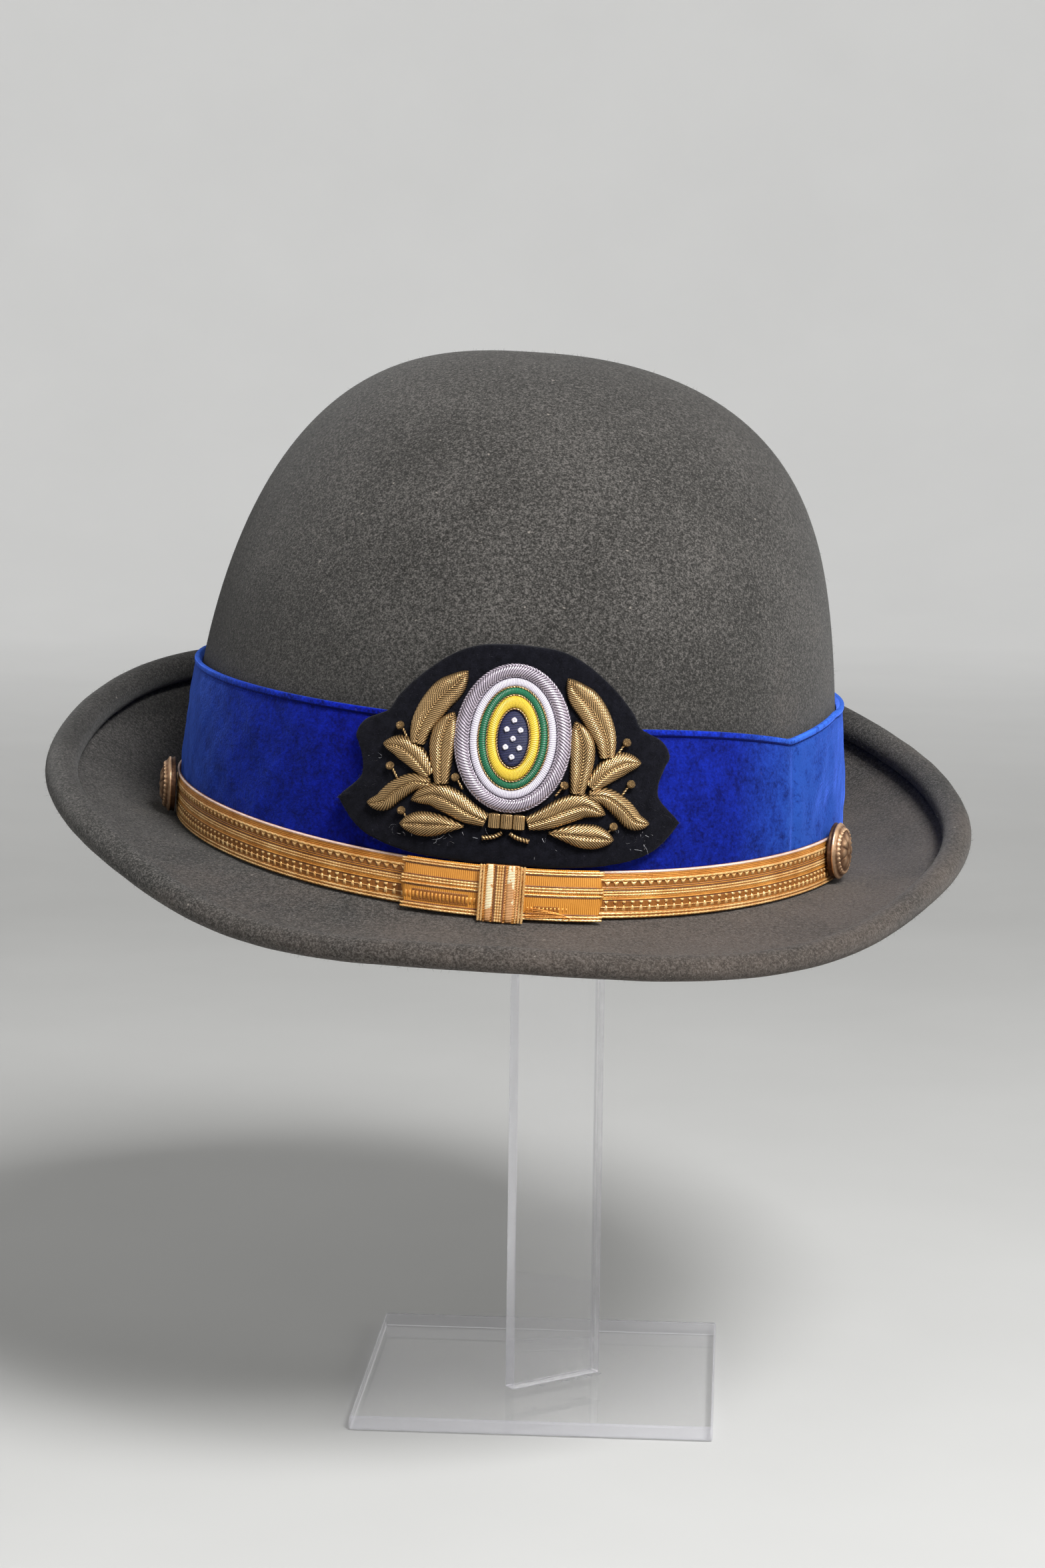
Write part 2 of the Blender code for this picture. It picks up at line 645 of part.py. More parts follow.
def build_ring(build: Builder, row: RingRow, finish: Finish) -> None:
    """Build one padded ring of the oval, or its middle, bent onto the hat."""
    outer = (0.5 * OVAL_WIDTH * row.outer_across - 0.5 * RING_GAP,
             0.5 * OVAL_HEIGHT * row.outer_up - 0.5 * RING_GAP)
    inner = (0.5 * OVAL_WIDTH * row.inner_across + 0.5 * RING_GAP,
             0.5 * OVAL_HEIGHT * row.inner_up + 0.5 * RING_GAP)
    relief = OVAL_RELIEF * row.relief
    hollow = row.inner_across > 0.0
    section = ((1.0, 0.0), (1.0, 0.6), (0.5, 1.0), (0.0, 0.6), (0.0, 0.0))
    if not hollow:
        section = ((1.0, 0.0), (1.0, 0.7), (0.6, 1.0))
    sections = []
    for k in range(RING_STATIONS):
        angle = math.tau * k / RING_STATIONS
        loop = []
        for share, up in section:
            across = inner[0] + (outer[0] - inner[0]) * share
            along = inner[1] + (outer[1] - inner[1]) * share
            loop.append(Vector((across * math.sin(angle), along * math.cos(angle),
                                STITCH_BACK + relief * up)))
        sections.append(loop)
    mesh = loft(sections, ring=True, tube=hollow)
    if not hollow:
        bm = bmesh.new()
        bm.from_mesh(mesh)
        rims = [edge for edge in bm.edges if edge.is_boundary]
        bmesh.ops.contextual_create(bm, geom=rims)
        bmesh.ops.holes_fill(bm, edges=rims)
        bmesh.ops.triangulate(bm, faces=[face for face in bm.faces if len(face.verts) > 4])
        bmesh.ops.recalc_face_normals(bm, faces=bm.faces)
        bm.to_mesh(mesh)
        bm.free()
    build.bend(mesh)
    build.add(row.name, mesh, finish)


def padded_strip(route: Sequence[Vector], width: Callable[[float], float], relief: float
                 ) -> bpy.types.Mesh:
    """Return a padded strip with a flat back along a route, as wide as a function says.

    Args:
        route: The flat points of its midline.
        width: The width at a share of the route's length.
        relief: Its height where it is broad.

    Returns:
        The closed flat mesh, with its depths measured from the crown's wall.
    """
    broadest = max(width(k / len(route)) for k in range(len(route)))
    sections = []
    for k, point in enumerate(route):
        ahead = route[min(k + 1, len(route) - 1)] - route[max(k - 1, 0)]
        aside = Vector((-ahead.y, ahead.x, 0.0)).normalized()
        half = 0.5 * width(k / (len(route) - 1))
        rise = relief * min(1.0, 0.3 + 1.4 * half / broadest)
        loop = ((-1.0, 0.0), (-0.9, 0.4), (-0.45, 0.9), (0.0, 1.0), (0.45, 0.9), (0.9, 0.4),
                (1.0, 0.0))
        sections.append([point + aside * (half * side)
                         + Vector((0.0, 0.0, STITCH_BACK + rise * up)) for side, up in loop])
    return loft(sections, ring=False)


def build_leaf(build: Builder, number: int, leaf: Leaf, side: int) -> None:
    """Build one padded leaf of the wreath on one side of the badge."""

    def width(share: float) -> float:
        """Return the leaf's width, narrow at its stalk and pointed at its tip."""
        return leaf.width * max(0.14, math.sin(math.pi * (0.16 + 0.84 * share)) ** 0.55)

    route = spline([(side * across, up) for across, up in leaf.route], 3)
    mesh = padded_strip(route, width, LEAF_RELIEF)
    spread_wreath(mesh)
    build.bend(mesh)
    build.add(f"leaf_{'right' if side > 0 else 'left'}_{number}", mesh, BULLION)


def build_wreath(build: Builder) -> None:
    """Build the leaves, berries, tie and tails of the wreath."""
    for side, label in ((-1, "left"), (1, "right")):
        for number, leaf in enumerate(LEAVES, 1):
            build_leaf(build, number, leaf, side)
        for number, berry in enumerate(BERRIES, 1):
            across, up = wreath_place(*berry)
            bm = bmesh.new()
            bmesh.ops.create_uvsphere(bm, u_segments=8, v_segments=6,
                                      radius=0.5 * BERRY_DIAMETER)
            place = build.on_badge(side * across, up, STITCH_BACK + 0.5 * BERRY_DIAMETER)
            bmesh.ops.translate(bm, verts=bm.verts, vec=place)
            mesh = bpy.data.meshes.new("berry")
            bm.to_mesh(mesh)
            bm.free()
            build.add(f"berry_{label}_{number}", mesh, BULLION)
        knot = TIE_FOOT - CLEARANCE - 0.5 * TAIL_THICKNESS
        unit = BADGE_HEIGHT / GRID_BADGE_UP
        tail = spline([(side * across * unit, knot + up * unit)
                       for across, up in TAIL_ROUTE], 2)
        mesh = padded_strip(tail, lambda share: TAIL_THICKNESS, 0.75 * TAIL_THICKNESS)
        build.bend(mesh)
        build.add(f"tie_tail_{label}", mesh, BULLION)
    build_tie(build)


def build_tie(build: Builder) -> None:
    """Build the tie of three wraps under the oval."""
    count = 12
    sections = []
    for k in range(count + 1):
        share = k / count
        across = TIE_WIDTH * (share - 0.5)
        rise = TIE_RELIEF * (0.55 + 0.45 * abs(math.sin(3.0 * math.pi * share)))
        loop = ((0.0, 0.0), (0.0, 0.5), (0.2, 0.9), (0.5, 1.0), (0.8, 0.9), (1.0, 0.5),
                (1.0, 0.0))
        sections.append([Vector((across, TIE_FOOT + TIE_HEIGHT * up, STITCH_BACK + rise * out))
                         for up, out in loop])
    mesh = loft(sections, ring=False)
    build.bend(mesh)
    build.add("wreath_tie", mesh, BULLION)


def plate_box(size: tuple[float, float, float]) -> bmesh.types.BMesh:
    """Return a box of a size, standing on the level of its own origin."""
    bm = bmesh.new()
    bmesh.ops.create_cube(bm, size=1.0)
    bmesh.ops.scale(bm, verts=bm.verts, vec=size)
    bmesh.ops.translate(bm, verts=bm.verts, vec=(0.0, 0.0, 0.5 * size[2]))
    return bm


def build_stand(build: Builder) -> None:
    """Build the base plate, the upright strip and the plate that the crown rests on."""
    bm = plate_box((PLATE_SIDE, PLATE_SIDE, PLATE_WALL))
    mesh = bpy.data.meshes.new("stand_base")
    bm.to_mesh(mesh)
    bm.free()
    base = build.add("stand_base", mesh, ACRYLIC, on_hat=False)
    bevel = base.modifiers.new("edges", "BEVEL")
    bevel.width = PLATE_BEVEL
    bevel.segments = 2

    hat = Matrix.LocRotScale(build.hat.location, build.hat.rotation_euler, None)
    under = HEAD_PLATE_LEVEL - HEAD_PLATE_WALL
    plane_point = hat @ Vector((0.0, 0.0, under - CLEARANCE))
    plane_normal = hat.to_3x3() @ Vector((0.0, 0.0, 1.0))
    bm = plate_box((STRIP_WIDTH, STRIP_WALL, 1.0))
    place = Vector((STRIP_PLACE_X, STRIP_PLACE_Y, PLATE_WALL + CLEARANCE))
    turned = Matrix.Translation(place) @ Matrix.Rotation(math.radians(STRIP_TURN), 4, "Z")
    bm.transform(turned)
    for vertex in bm.verts:
        if vertex.co.z > place.z + STRIP_WALL:
            level = (plane_point - vertex.co).dot(plane_normal) / plane_normal.z
            vertex.co.z += level
    mesh = bpy.data.meshes.new("stand_upright")
    bm.to_mesh(mesh)
    bm.free()
    build.add("stand_upright", mesh, ACRYLIC, on_hat=False)

    sections = []
    for k in range(STATIONS):
        rim = inside_crown(360.0 * k / STATIONS, HEAD_PLATE_LEVEL, HEAD_PLATE_PLAY)
        sections.append([Vector((rim.x, rim.y, under)), rim])
    mesh = loft(sections, ring=True, tube=False)
    bm = bmesh.new()
    bm.from_mesh(mesh)
    bmesh.ops.holes_fill(bm, edges=[edge for edge in bm.edges if edge.is_boundary])
    bmesh.ops.recalc_face_normals(bm, faces=bm.faces)
    bm.to_mesh(mesh)
    bm.free()
    build.add("stand_head", mesh, ACRYLIC)


def main() -> None:
    """Build every piece."""
    clear_scene()
    build = Builder()
    build_felt(build)
    build_band(build)
    build_braid(build)
    build_button(build, "button_left", TRIM_TURN + BUTTON_LEFT_TURN)
    build_button(build, "button_right", TRIM_TURN + BUTTON_RIGHT_TURN)
    build_backing(build)
    for row, finish in zip(RINGS, RING_FINISHES):
        build_ring(build, row, finish)
    build_wreath(build)
    build_stand(build)


main()
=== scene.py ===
"""Looks of a felt hat with a velvet band, gold braid and an embroidered badge, on a clear stand.

Places on the hat are given as in its solids: a turn in degrees from the front to +X, a height
above the crown's foot and a depth in front of the crown's wall. Lengths are metres. A table
holds the places of a grid, with its pattern's u and v after them where it has a pattern.
"""
from __future__ import annotations

import logging
import math
from dataclasses import dataclass, replace
from enum import Enum
from typing import Any, Sequence

import bpy
import numpy as np
from mathutils import Euler, Matrix, Vector


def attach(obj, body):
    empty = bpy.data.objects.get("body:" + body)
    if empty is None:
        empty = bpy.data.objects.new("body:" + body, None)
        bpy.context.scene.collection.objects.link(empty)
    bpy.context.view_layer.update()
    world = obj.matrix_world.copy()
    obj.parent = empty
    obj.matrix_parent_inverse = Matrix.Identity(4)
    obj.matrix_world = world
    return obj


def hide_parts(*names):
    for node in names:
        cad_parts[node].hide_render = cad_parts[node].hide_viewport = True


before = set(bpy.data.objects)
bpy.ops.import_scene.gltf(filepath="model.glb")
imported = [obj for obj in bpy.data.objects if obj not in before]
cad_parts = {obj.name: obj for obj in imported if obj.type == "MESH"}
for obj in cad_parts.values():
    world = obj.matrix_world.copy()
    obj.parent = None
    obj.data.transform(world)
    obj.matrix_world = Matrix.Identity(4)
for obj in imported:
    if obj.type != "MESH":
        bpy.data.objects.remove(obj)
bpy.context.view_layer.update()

LOG = logging.getLogger("hat")
MM = 0.001
ROUND = 2.0 * math.pi
SIDES = ((-1, "left"), (1, "right"))
Colour = tuple[float, float, float]
Pair = tuple[float, float]


def select(*pieces: bpy.types.Object) -> None:
    """Select these pieces alone, or nothing, and make the first one active."""
    bpy.ops.object.select_all(action="DESELECT")
    for piece in pieces:
        piece.select_set(True)
        bpy.context.view_layer.objects.active = pieces[0]


def stacked(*parts: np.ndarray | float) -> np.ndarray:
    """Return parts, spread to one shape, as the last axis of one table."""
    return np.stack(np.broadcast_arrays(*parts), axis=-1)


def beside(*tables: np.ndarray) -> np.ndarray:
    """Return tables joined along their last axis."""
    return np.concatenate(tables, axis=-1)


def smooth_noise(points: np.ndarray, size: float, seed: int, waves: int = 18) -> np.ndarray:
    """Return soft noise of about unit strength, from a fixed set of waves.

    Args:
        points: Points of shape (..., 3).
        size: Typical length of a hump.
        seed: Number that fixes the waves.
        waves: How many waves are summed.

    Returns:
        One value for each point.
    """
    draw = np.random.default_rng(seed)
    ways = draw.normal(size=(waves, 3))
    ways /= np.linalg.norm(ways, axis=1)[:, None]
    ways *= (ROUND / size) * draw.uniform(0.55, 1.6, size=(waves, 1))
    phases = draw.uniform(0.0, ROUND, size=waves)
    return np.sin(points @ ways.T + phases).sum(axis=-1) / math.sqrt(0.5 * waves)


def spline(points: Sequence[Sequence[float]], steps: int) -> np.ndarray:
    """Return a smooth line through points.

    Args:
        points: The points.
        steps: Steps from each point to the next.

    Returns:
        The line's points.
    """
    line = np.asarray(points, float)
    ends = np.vstack([2 * line[0] - line[1], line, 2 * line[-1] - line[-2]])
    s = (np.arange(steps) / steps)[:, None]
    runs = [0.5 * (2 * here + (after - before) * s
                   + (2 * before - 5 * here + 4 * after - beyond) * s ** 2
                   + (3 * here - before - 3 * after + beyond) * s ** 3)
            for before, here, after, beyond in zip(ends, ends[1:], ends[2:], ends[3:])]
    return np.vstack([*runs, line[-1:]])


def run_lengths(line: np.ndarray) -> np.ndarray:
    """Return the length along a line at each of its points."""
    steps = np.linalg.norm(np.diff(line, axis=0), axis=1)
    return np.concatenate([[0.0], np.cumsum(steps)])


def asides(line: np.ndarray) -> np.ndarray:
    """Return the unit vectors to the left of a flat line.

    Args:
        line: Points whose first two coordinates are read.

    Returns:
        One flat vector for each point.
    """
    ahead = np.gradient(line[:, :2], axis=0)
    left = stacked(-ahead[:, 1], ahead[:, 0])
    return left / np.maximum(np.linalg.norm(left, axis=1)[:, None], 1e-12)


def level_run(first: float, last: float, up: float, step: float) -> np.ndarray:
    """Return a level route from one place to another."""
    count = max(2, round((last - first) / step))
    return stacked(np.linspace(first, last, count + 1), up)


def upright_run(across: float, first: float, last: float, step: float) -> np.ndarray:
    """Return an upright route from one height to another."""
    return level_run(first, last, across, step)[:, ::-1]


def tube(route: np.ndarray, out: float | np.ndarray, radius: float, around: int = 9,
         pitch: float = 0.0, lobes: int = 2, cut: float = 0.0, beads: float = 0.0,
         squeeze: float = 1.0) -> np.ndarray:
    """Return a table for a cord along a flat route.

    Args:
        route: The route's points, of shape (points, 2).
        out: Depth of its middle, or one for each point.
        radius: Its radius.
        around: Steps around it.
        pitch: Length between the strands of a twist; past 0.1 they run straight.
        lobes: Strands of the twist.
        cut: How deep the grooves are, as a share of the radius.
        beads: Length between beads, for a beaded cord.
        squeeze: Height of its section over its width.

    Returns:
        Flat places with depths, closed at both ends.
    """
    length = run_lengths(route)[:, None]
    angle = np.linspace(0.0, ROUND, around + 1)[None, :]
    size = np.ones_like(length * angle)
    if pitch:
        turned = 0.5 * lobes * (angle - ROUND * length / (lobes * pitch))
        size = 1.0 - cut * (1.0 - np.abs(np.cos(turned)) ** 0.7)
    if beads:
        size = size * (0.55 + 0.45 * np.abs(np.sin(math.pi * length / beads)) ** 0.6)
    size[0] = size[-1] = 0.0
    left = asides(route)[:, None, :]
    flat = route[:, None, :] + left * (radius * size * np.cos(angle))[..., None]
    twist = angle * pitch * lobes / ROUND * float(pitch < 0.1)
    return beside(flat, stacked(out + radius * squeeze * size * np.sin(angle), length - twist,
                                radius * angle))


def sheet(name: str, table: np.ndarray, material: bpy.types.Material, weld: bool = True
          ) -> bpy.types.Object:
    """Make a grid and move its points to a table of places.

    Args:
        name: Name of the piece.
        table: Places of shape (columns, rows, 3), or 5 deep with a pattern's u and v.
        material: Its material.
        weld: Whether points that meet are merged and the faces turned outwards.

    Returns:
        The new object, at the origin.
    """
    columns, rows = table.shape[:2]
    select()
    bpy.ops.mesh.primitive_grid_add(x_subdivisions=columns - 1, y_subdivisions=rows - 1,
                                    size=1.0)
    piece = bpy.context.object
    mesh = piece.data
    places = np.empty(len(mesh.vertices) * 3)
    mesh.vertices.foreach_get("co", places)
    grid = (places.reshape(-1, 3)[:, :2] + 0.5) * (columns - 1, rows - 1)
    column, row = np.rint(grid).astype(int).T
    mesh.vertices.foreach_set("co", table[column, row, :3].ravel())
    if table.shape[2] == 5:
        corners = np.empty(len(mesh.loops), int)
        mesh.loops.foreach_get("vertex_index", corners)
        mesh.uv_layers[0].data.foreach_set("uv", table[column, row, 3:][corners].ravel())
    mesh.update()
    if weld:
        bpy.ops.object.mode_set(mode="EDIT")
        bpy.ops.mesh.select_all(action="SELECT")
        bpy.ops.mesh.remove_doubles(threshold=0.000004)
        bpy.ops.mesh.normals_make_consistent(inside=False)
        bpy.ops.object.mode_set(mode="OBJECT")
    bpy.ops.object.shade_smooth()
    mesh.materials.clear()
    mesh.materials.append(material)
    piece.name = mesh.name = name
    return piece


def joined(name: str, pieces: Sequence[bpy.types.Object]) -> bpy.types.Object:
    """Join pieces into one that keeps their materials.

    Args:
        name: Name of the new piece.
        pieces: The pieces.

    Returns:
        The joined piece.
    """
    select(*pieces)
    if len(pieces) > 1:
        bpy.ops.object.join()
    pieces[0].name = pieces[0].data.name = name
    return pieces[0]


def scattered(name: str, model: bpy.types.Object, axes: np.ndarray, places: np.ndarray
              ) -> bpy.types.Object:
    """Repeat a small modelled piece at many places, in one mesh.

    Args:
        name: Name of the new piece.
        model: The piece that is repeated, and then removed.
        axes: Its axes at each place, as columns that hold its scale, of shape (n, 3, 3).
        places: The places, of shape (n, 3).

    Returns:
        The new object, at the origin.
    """
    source = model.data
    points = np.array([point.co for point in source.vertices])
    spread = np.einsum("nij,vj->nvi", axes, points) + places[:, None, :]
    faces = [tuple(face.vertices) for face in source.polygons]
    mesh = bpy.data.meshes.new(name)
    mesh.from_pydata(spread.reshape(-1, 3).tolist(), [],
                     [tuple(corner + k * len(points) for corner in face)
                      for k in range(len(places)) for face in faces])
    mesh.materials.append(source.materials[0])
    mesh.shade_smooth()
    bpy.data.objects.remove(model, do_unlink=True)
    piece = bpy.data.objects.new(name, mesh)
    bpy.context.scene.collection.objects.link(piece)
    return piece


def hair(material: bpy.types.Material, curl: float, steps: int) -> bpy.types.Object:
    """Return one hair of unit length and width, which curls away from its root."""
    share = np.linspace(0.0, 1.0, steps + 1)[:, None]
    thick = np.clip(1.15 - share, 0.0, 1.0) * (-0.5, 0.5)
    table = stacked(np.sin(curl * share) / curl, thick, (1.0 - np.cos(curl * share)) / curl)
    return sheet("hair", table, material, weld=False)


def hair_axes(ways: np.ndarray, lengths: np.ndarray, thickness: float, seed: int) -> np.ndarray:
    """Return the axes of hairs, rolled at random about the ways that they leave in.

    Args:
        ways: The ways, of shape (n, 3).
        lengths: The hairs' lengths.
        thickness: Their thickness.
        seed: Number that fixes the rolls.

    Returns:
        Axes for scattered.
    """
    draw = np.random.default_rng(seed)
    ways = ways / np.linalg.norm(ways, axis=1)[:, None]
    other = np.cross(ways, draw.normal(size=ways.shape))
    other /= np.linalg.norm(other, axis=1)[:, None]
    third = np.cross(ways, other)
    return stacked(ways * lengths[:, None], other * thickness, third * lengths[:, None])


def settle(piece: bpy.types.Object, slot: str, *nodes: str) -> bpy.types.Object:
    """Tell the frame about a finished piece.

    Args:
        piece: The piece.
        slot: Name of what it is made of; not used.
        nodes: The solids that it stands for.

    Returns:
        The piece.
    """
    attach(piece, "root")
    if nodes:
        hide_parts(*nodes)
    LOG.info("%s: %d faces", piece.name, len(piece.data.polygons))
    return piece


class Wire:
    """A shader socket on which sums and products add their nodes."""

    def __init__(self, paint: Paint, socket: bpy.types.NodeSocket) -> None:
        """Keep the socket and the paint that owns it."""
        self.paint = paint
        self.socket = socket

    def math(self, operation: str, *values: Wire | float) -> Wire:
        """Return the result of a Math node on this socket and further values."""
        return self.paint.math(operation, self, *values)

    def __add__(self, other: Wire | float) -> Wire:
        """Return the sum."""
        return self.math("ADD", other)

    def __sub__(self, other: Wire | float) -> Wire:
        """Return the difference."""
        return self.math("SUBTRACT", other)

    def __rsub__(self, other: float) -> Wire:
        """Return the reflected difference."""
        return self.paint.math("SUBTRACT", other, self)

    def __mul__(self, other: Wire | float) -> Wire:
        """Return the product."""
        return self.math("MULTIPLY", other)

    __radd__ = __add__
    __rmul__ = __mul__

    def limit(self, low: float, high: float) -> Wire:
        """Return the value kept between two limits."""
        return self.math("MAXIMUM", low).math("MINIMUM", high)


class Paint:
    """One material while its nodes are added."""

    def __init__(self, name: str, **sockets: Any) -> None:
        """Start a material.

        Args:
            name: Its name.
            sockets: Constants on the shader's own sockets, with _ for a space.
        """
        self.material = bpy.data.materials.new(name)
        self.material.use_nodes = True
        self.tree = self.material.node_tree
        self.shader = self.tree.nodes["Principled BSDF"]
        for label, value in sockets.items():
            self.shader.inputs[label.replace("_", " ")].default_value = value

    def node(self, kind: str, settings: dict[str, Any] | None = None,
             inputs: dict[str | int, Any] | None = None, output: str | int = 0) -> Wire:
        """Add a node.

        Args:
            kind: Type of the node.
            settings: Its own settings; "stops" fills a colour ramp.
            inputs: Values or wires of its sockets, by name or number.
            output: The output that is wanted.

        Returns:
            The output.
        """
        node = self.tree.nodes.new(kind)
        settings = dict(settings or {})
        stops = settings.pop("stops", ())
        while len(stops) > 2 and len(node.color_ramp.elements) < len(stops):
            node.color_ramp.elements.new(0.5)
        for k, (place, colour) in enumerate(stops):
            node.color_ramp.elements[k].position = place
            node.color_ramp.elements[k].color = (*colour, 1.0)
        for label, value in settings.items():
            setattr(node, label, value)
        for label, value in (inputs or {}).items():
            if isinstance(value, Wire):
                self.tree.links.new(value.socket, node.inputs[label])
            else:
                node.inputs[label].default_value = value
        return Wire(self, node.outputs[output])

    def math(self, operation: str, *values: Wire | float) -> Wire:
        """Return the result of a Math node."""
        return self.node("ShaderNodeMath", {"operation": operation}, dict(enumerate(values)))

    def place(self) -> Wire:
        """Return the piece's object coordinates."""
        return self.node("ShaderNodeTexCoord", output="Object")

    def split(self, vector: Wire) -> tuple[Wire, Wire, Wire]:
        """Return the three parts of a vector."""
        first = self.node("ShaderNodeSeparateXYZ", {}, {0: vector})
        return tuple(Wire(self, part) for part in first.socket.node.outputs)

    def uv(self) -> tuple[Wire, Wire]:
        """Return the two lengths of the piece's own pattern map."""
        return self.split(self.node("ShaderNodeUVMap", {"uv_map": "UVMap"}))[:2]

    def noise(self, scale: float, detail: float = 3.0, rough: float = 0.55) -> Wire:
        """Return noise over the piece, from 0 to 1."""
        return self.node("ShaderNodeTexNoise", {}, {
            "Vector": self.place(), "Scale": scale, "Detail": detail, "Roughness": rough})

    def ramp(self, factor: Wire, *stops: tuple[float, Colour | float]) -> Wire:
        """Return a colour ramp's colour, with a number for a grey."""
        stops = [(place, colour if isinstance(colour, tuple) else (colour,) * 3)
                 for place, colour in stops]
        return self.node("ShaderNodeValToRGB", {"stops": stops}, {0: factor})

    def mix(self, factor: Wire | float, first: Wire | Colour, second: Wire | Colour) -> Wire:
        """Return a mix of two colours."""
        plain = [value if isinstance(value, Wire) else (*value, 1.0) for value in (first, second)]
        return self.node("ShaderNodeMix", {"data_type": "RGBA"},
                         {0: factor, 6: plain[0], 7: plain[1]}, 2)

    def bump(self, height: Wire, distance: float, strength: float = 1.0) -> None:
        """Feed a height to the shader's normal."""
        self.feed("Normal", self.node("ShaderNodeBump", {}, {
            "Strength": strength, "Distance": distance, "Height": height}))

    def feed(self, label: str, wire: Wire) -> None:
        """Feed one of the shader's sockets."""
        self.tree.links.new(wire.socket, self.shader.inputs[label])


class Lay(Enum):
    """How the threads of a stitched surface run over its pattern map."""

    ALONG = "along"
    ACROSS = "across"
    NONE = "none"


@dataclass(frozen=True)
class FeltFinish:
    """Dark olive-grey felt with dust, fuzz and a few specks."""

    name: str = "grey_felt"
    deep: Colour = (0.0130, 0.0130, 0.0120)
    mid: Colour = (0.0410, 0.0398, 0.0372)
    pale: Colour = (0.1210, 0.1130, 0.1060)
    dust: Colour = (0.1150, 0.0860, 0.0690)
    speck: Colour = (0.3800, 0.3400, 0.3000)
    dust_top: float = 0.186
    dust_fall: float = 26.0
    painted_shade_foot: float = 0.185
    painted_shade_top: float = 0.232

    def material(self) -> bpy.types.Material:
        """Mix the material, dusty on the brim and with painted shade low on the crown.

        Returns:
            The material.
        """
        paint = Paint(self.name, Roughness=0.95, Sheen_Weight=0.10, Sheen_Roughness=0.5,
                      Specular_IOR_Level=0.1)
        fine = paint.noise(2300.0, 3.0, 0.75)
        soft = paint.noise(1150.0, 4.0, 0.65)
        cloud = paint.noise(38.0, 4.0, 0.6)
        colour = paint.ramp(fine * 0.46 + soft * 0.44 + cloud * 0.10, (0.40, self.deep),
                            (0.50, self.mid), (0.61, self.pale))
        across, _, level = paint.split(paint.place())
        low = ((self.dust_top - level) * self.dust_fall).math("MAXIMUM", 0.0)
        dusty = (low + across * 2.5 + cloud * 1.6 - 1.05) * soft
        colour = paint.mix(dusty.limit(0.03, 0.42), colour, self.dust)
        # Painted shade: the crown just above the band is mixed towards the deep colour, most on
        # the left and fading upwards.
        shade = ((self.painted_shade_top - level) * 12.0 - across * 1.6).limit(0.0, 0.42)
        shade = shade * ((level - self.painted_shade_foot) * 400.0).limit(0.0, 1.0)
        colour = paint.mix(shade, colour, self.deep)
        specks = paint.noise(620.0, 1.0, 0.4).math("GREATER_THAN", 0.80)
        paint.feed("Base Color", paint.mix(specks * 0.45, colour, self.speck))
        paint.bump(fine * 0.55 + soft * 0.45, 0.0007, 0.55)
        return paint.material


@dataclass(frozen=True)
class VelvetFinish:
    """Deep blue velvet whose pile shines at grazing angles.

    The painted sheen levels go by the turn round the hat in quarters, and the hem's painted
    highlight and shade by the drop from the top edge in centimetres.
    """

    name: str = "blue_velvet"
    deep: Colour = (0.0006, 0.0014, 0.075)
    bright: Colour = (0.0045, 0.0230, 0.720)
    # Painted sheen colour, mixed in towards the sides of the hat.
    painted_sheen_colour: Colour = (0.0600, 0.2300, 1.000)
    worn: Colour = (0.1200, 0.1300, 0.420)
    sheen: Colour = (0.10, 0.22, 1.0)
    # Share of painted sheen at each turn, in quarters.
    painted_sheen_levels: tuple[Pair, ...] = (
        (-1.5, 0.30), (-1.05, 1.00), (-0.82, 0.50), (-0.60, 0.10), (-0.3, 0.0), (0.42, 0.08),
        (0.55, 0.45), (0.61, 0.95), (0.69, 0.75), (0.85, 1.0), (1.1, 1.0), (1.6, 0.30))
    # Painted highlight on the hem's fold and painted shade in the groove under it, as shares of
    # the colour against the deep colour.
    hem: tuple[Pair, ...] = ((0.0, 0.70), (0.11, 0.50), (0.135, 0.0), (0.175, 0.0), (0.20, 0.28))

    def material(self) -> bpy.types.Material:
        """Mix the material, with painted sheen that lightens it at the sides of the hat.

        Returns:
            The material.
        """
        paint = Paint(self.name, Roughness=0.85, Sheen_Weight=1.0, Sheen_Roughness=0.32,
                      Sheen_Tint=(*self.sheen, 1.0), Specular_IOR_Level=0.1)
        turn, drop = paint.uv()
        cloud = paint.noise(170.0, 4.0, 0.65)
        pile = paint.noise(1300.0, 2.0, 0.7)
        mottle = paint.noise(480.0, 3.0, 0.6)
        tone = cloud * 0.34 + mottle * 0.28 + pile * 0.38
        colour = paint.ramp(tone, (0.41, self.deep), (0.62, self.bright))
        # Painted sheen: the colour is lightened towards the sides of the hat, where the pile
        # catches light at a grazing angle.
        painted_sheen_share = paint.ramp(turn * 0.25 + 0.5, *((0.25 * place + 0.5, level)
                                                for place, level in self.painted_sheen_levels))
        painted_sheen_mask = (painted_sheen_share * (tone * 6.0 - 1.9)).limit(0.0, 1.0)
        colour = paint.mix(painted_sheen_mask, colour, self.painted_sheen_colour)
        rubbed = paint.noise(130.0, 2.0, 0.5).math("GREATER_THAN", 0.745)
        colour = paint.mix(rubbed * pile * 0.5, colour, self.worn)
        # Painted highlight and shade of the hem: the fold lighter, the groove under it fully the
        # deep colour.
        colour = paint.mix(paint.ramp(drop * 0.1, *self.hem), self.deep, colour)
        paint.feed("Base Color", colour)
        paint.bump(mottle * 0.45 + pile * 0.55, 0.0006, 0.6)
        return paint.material


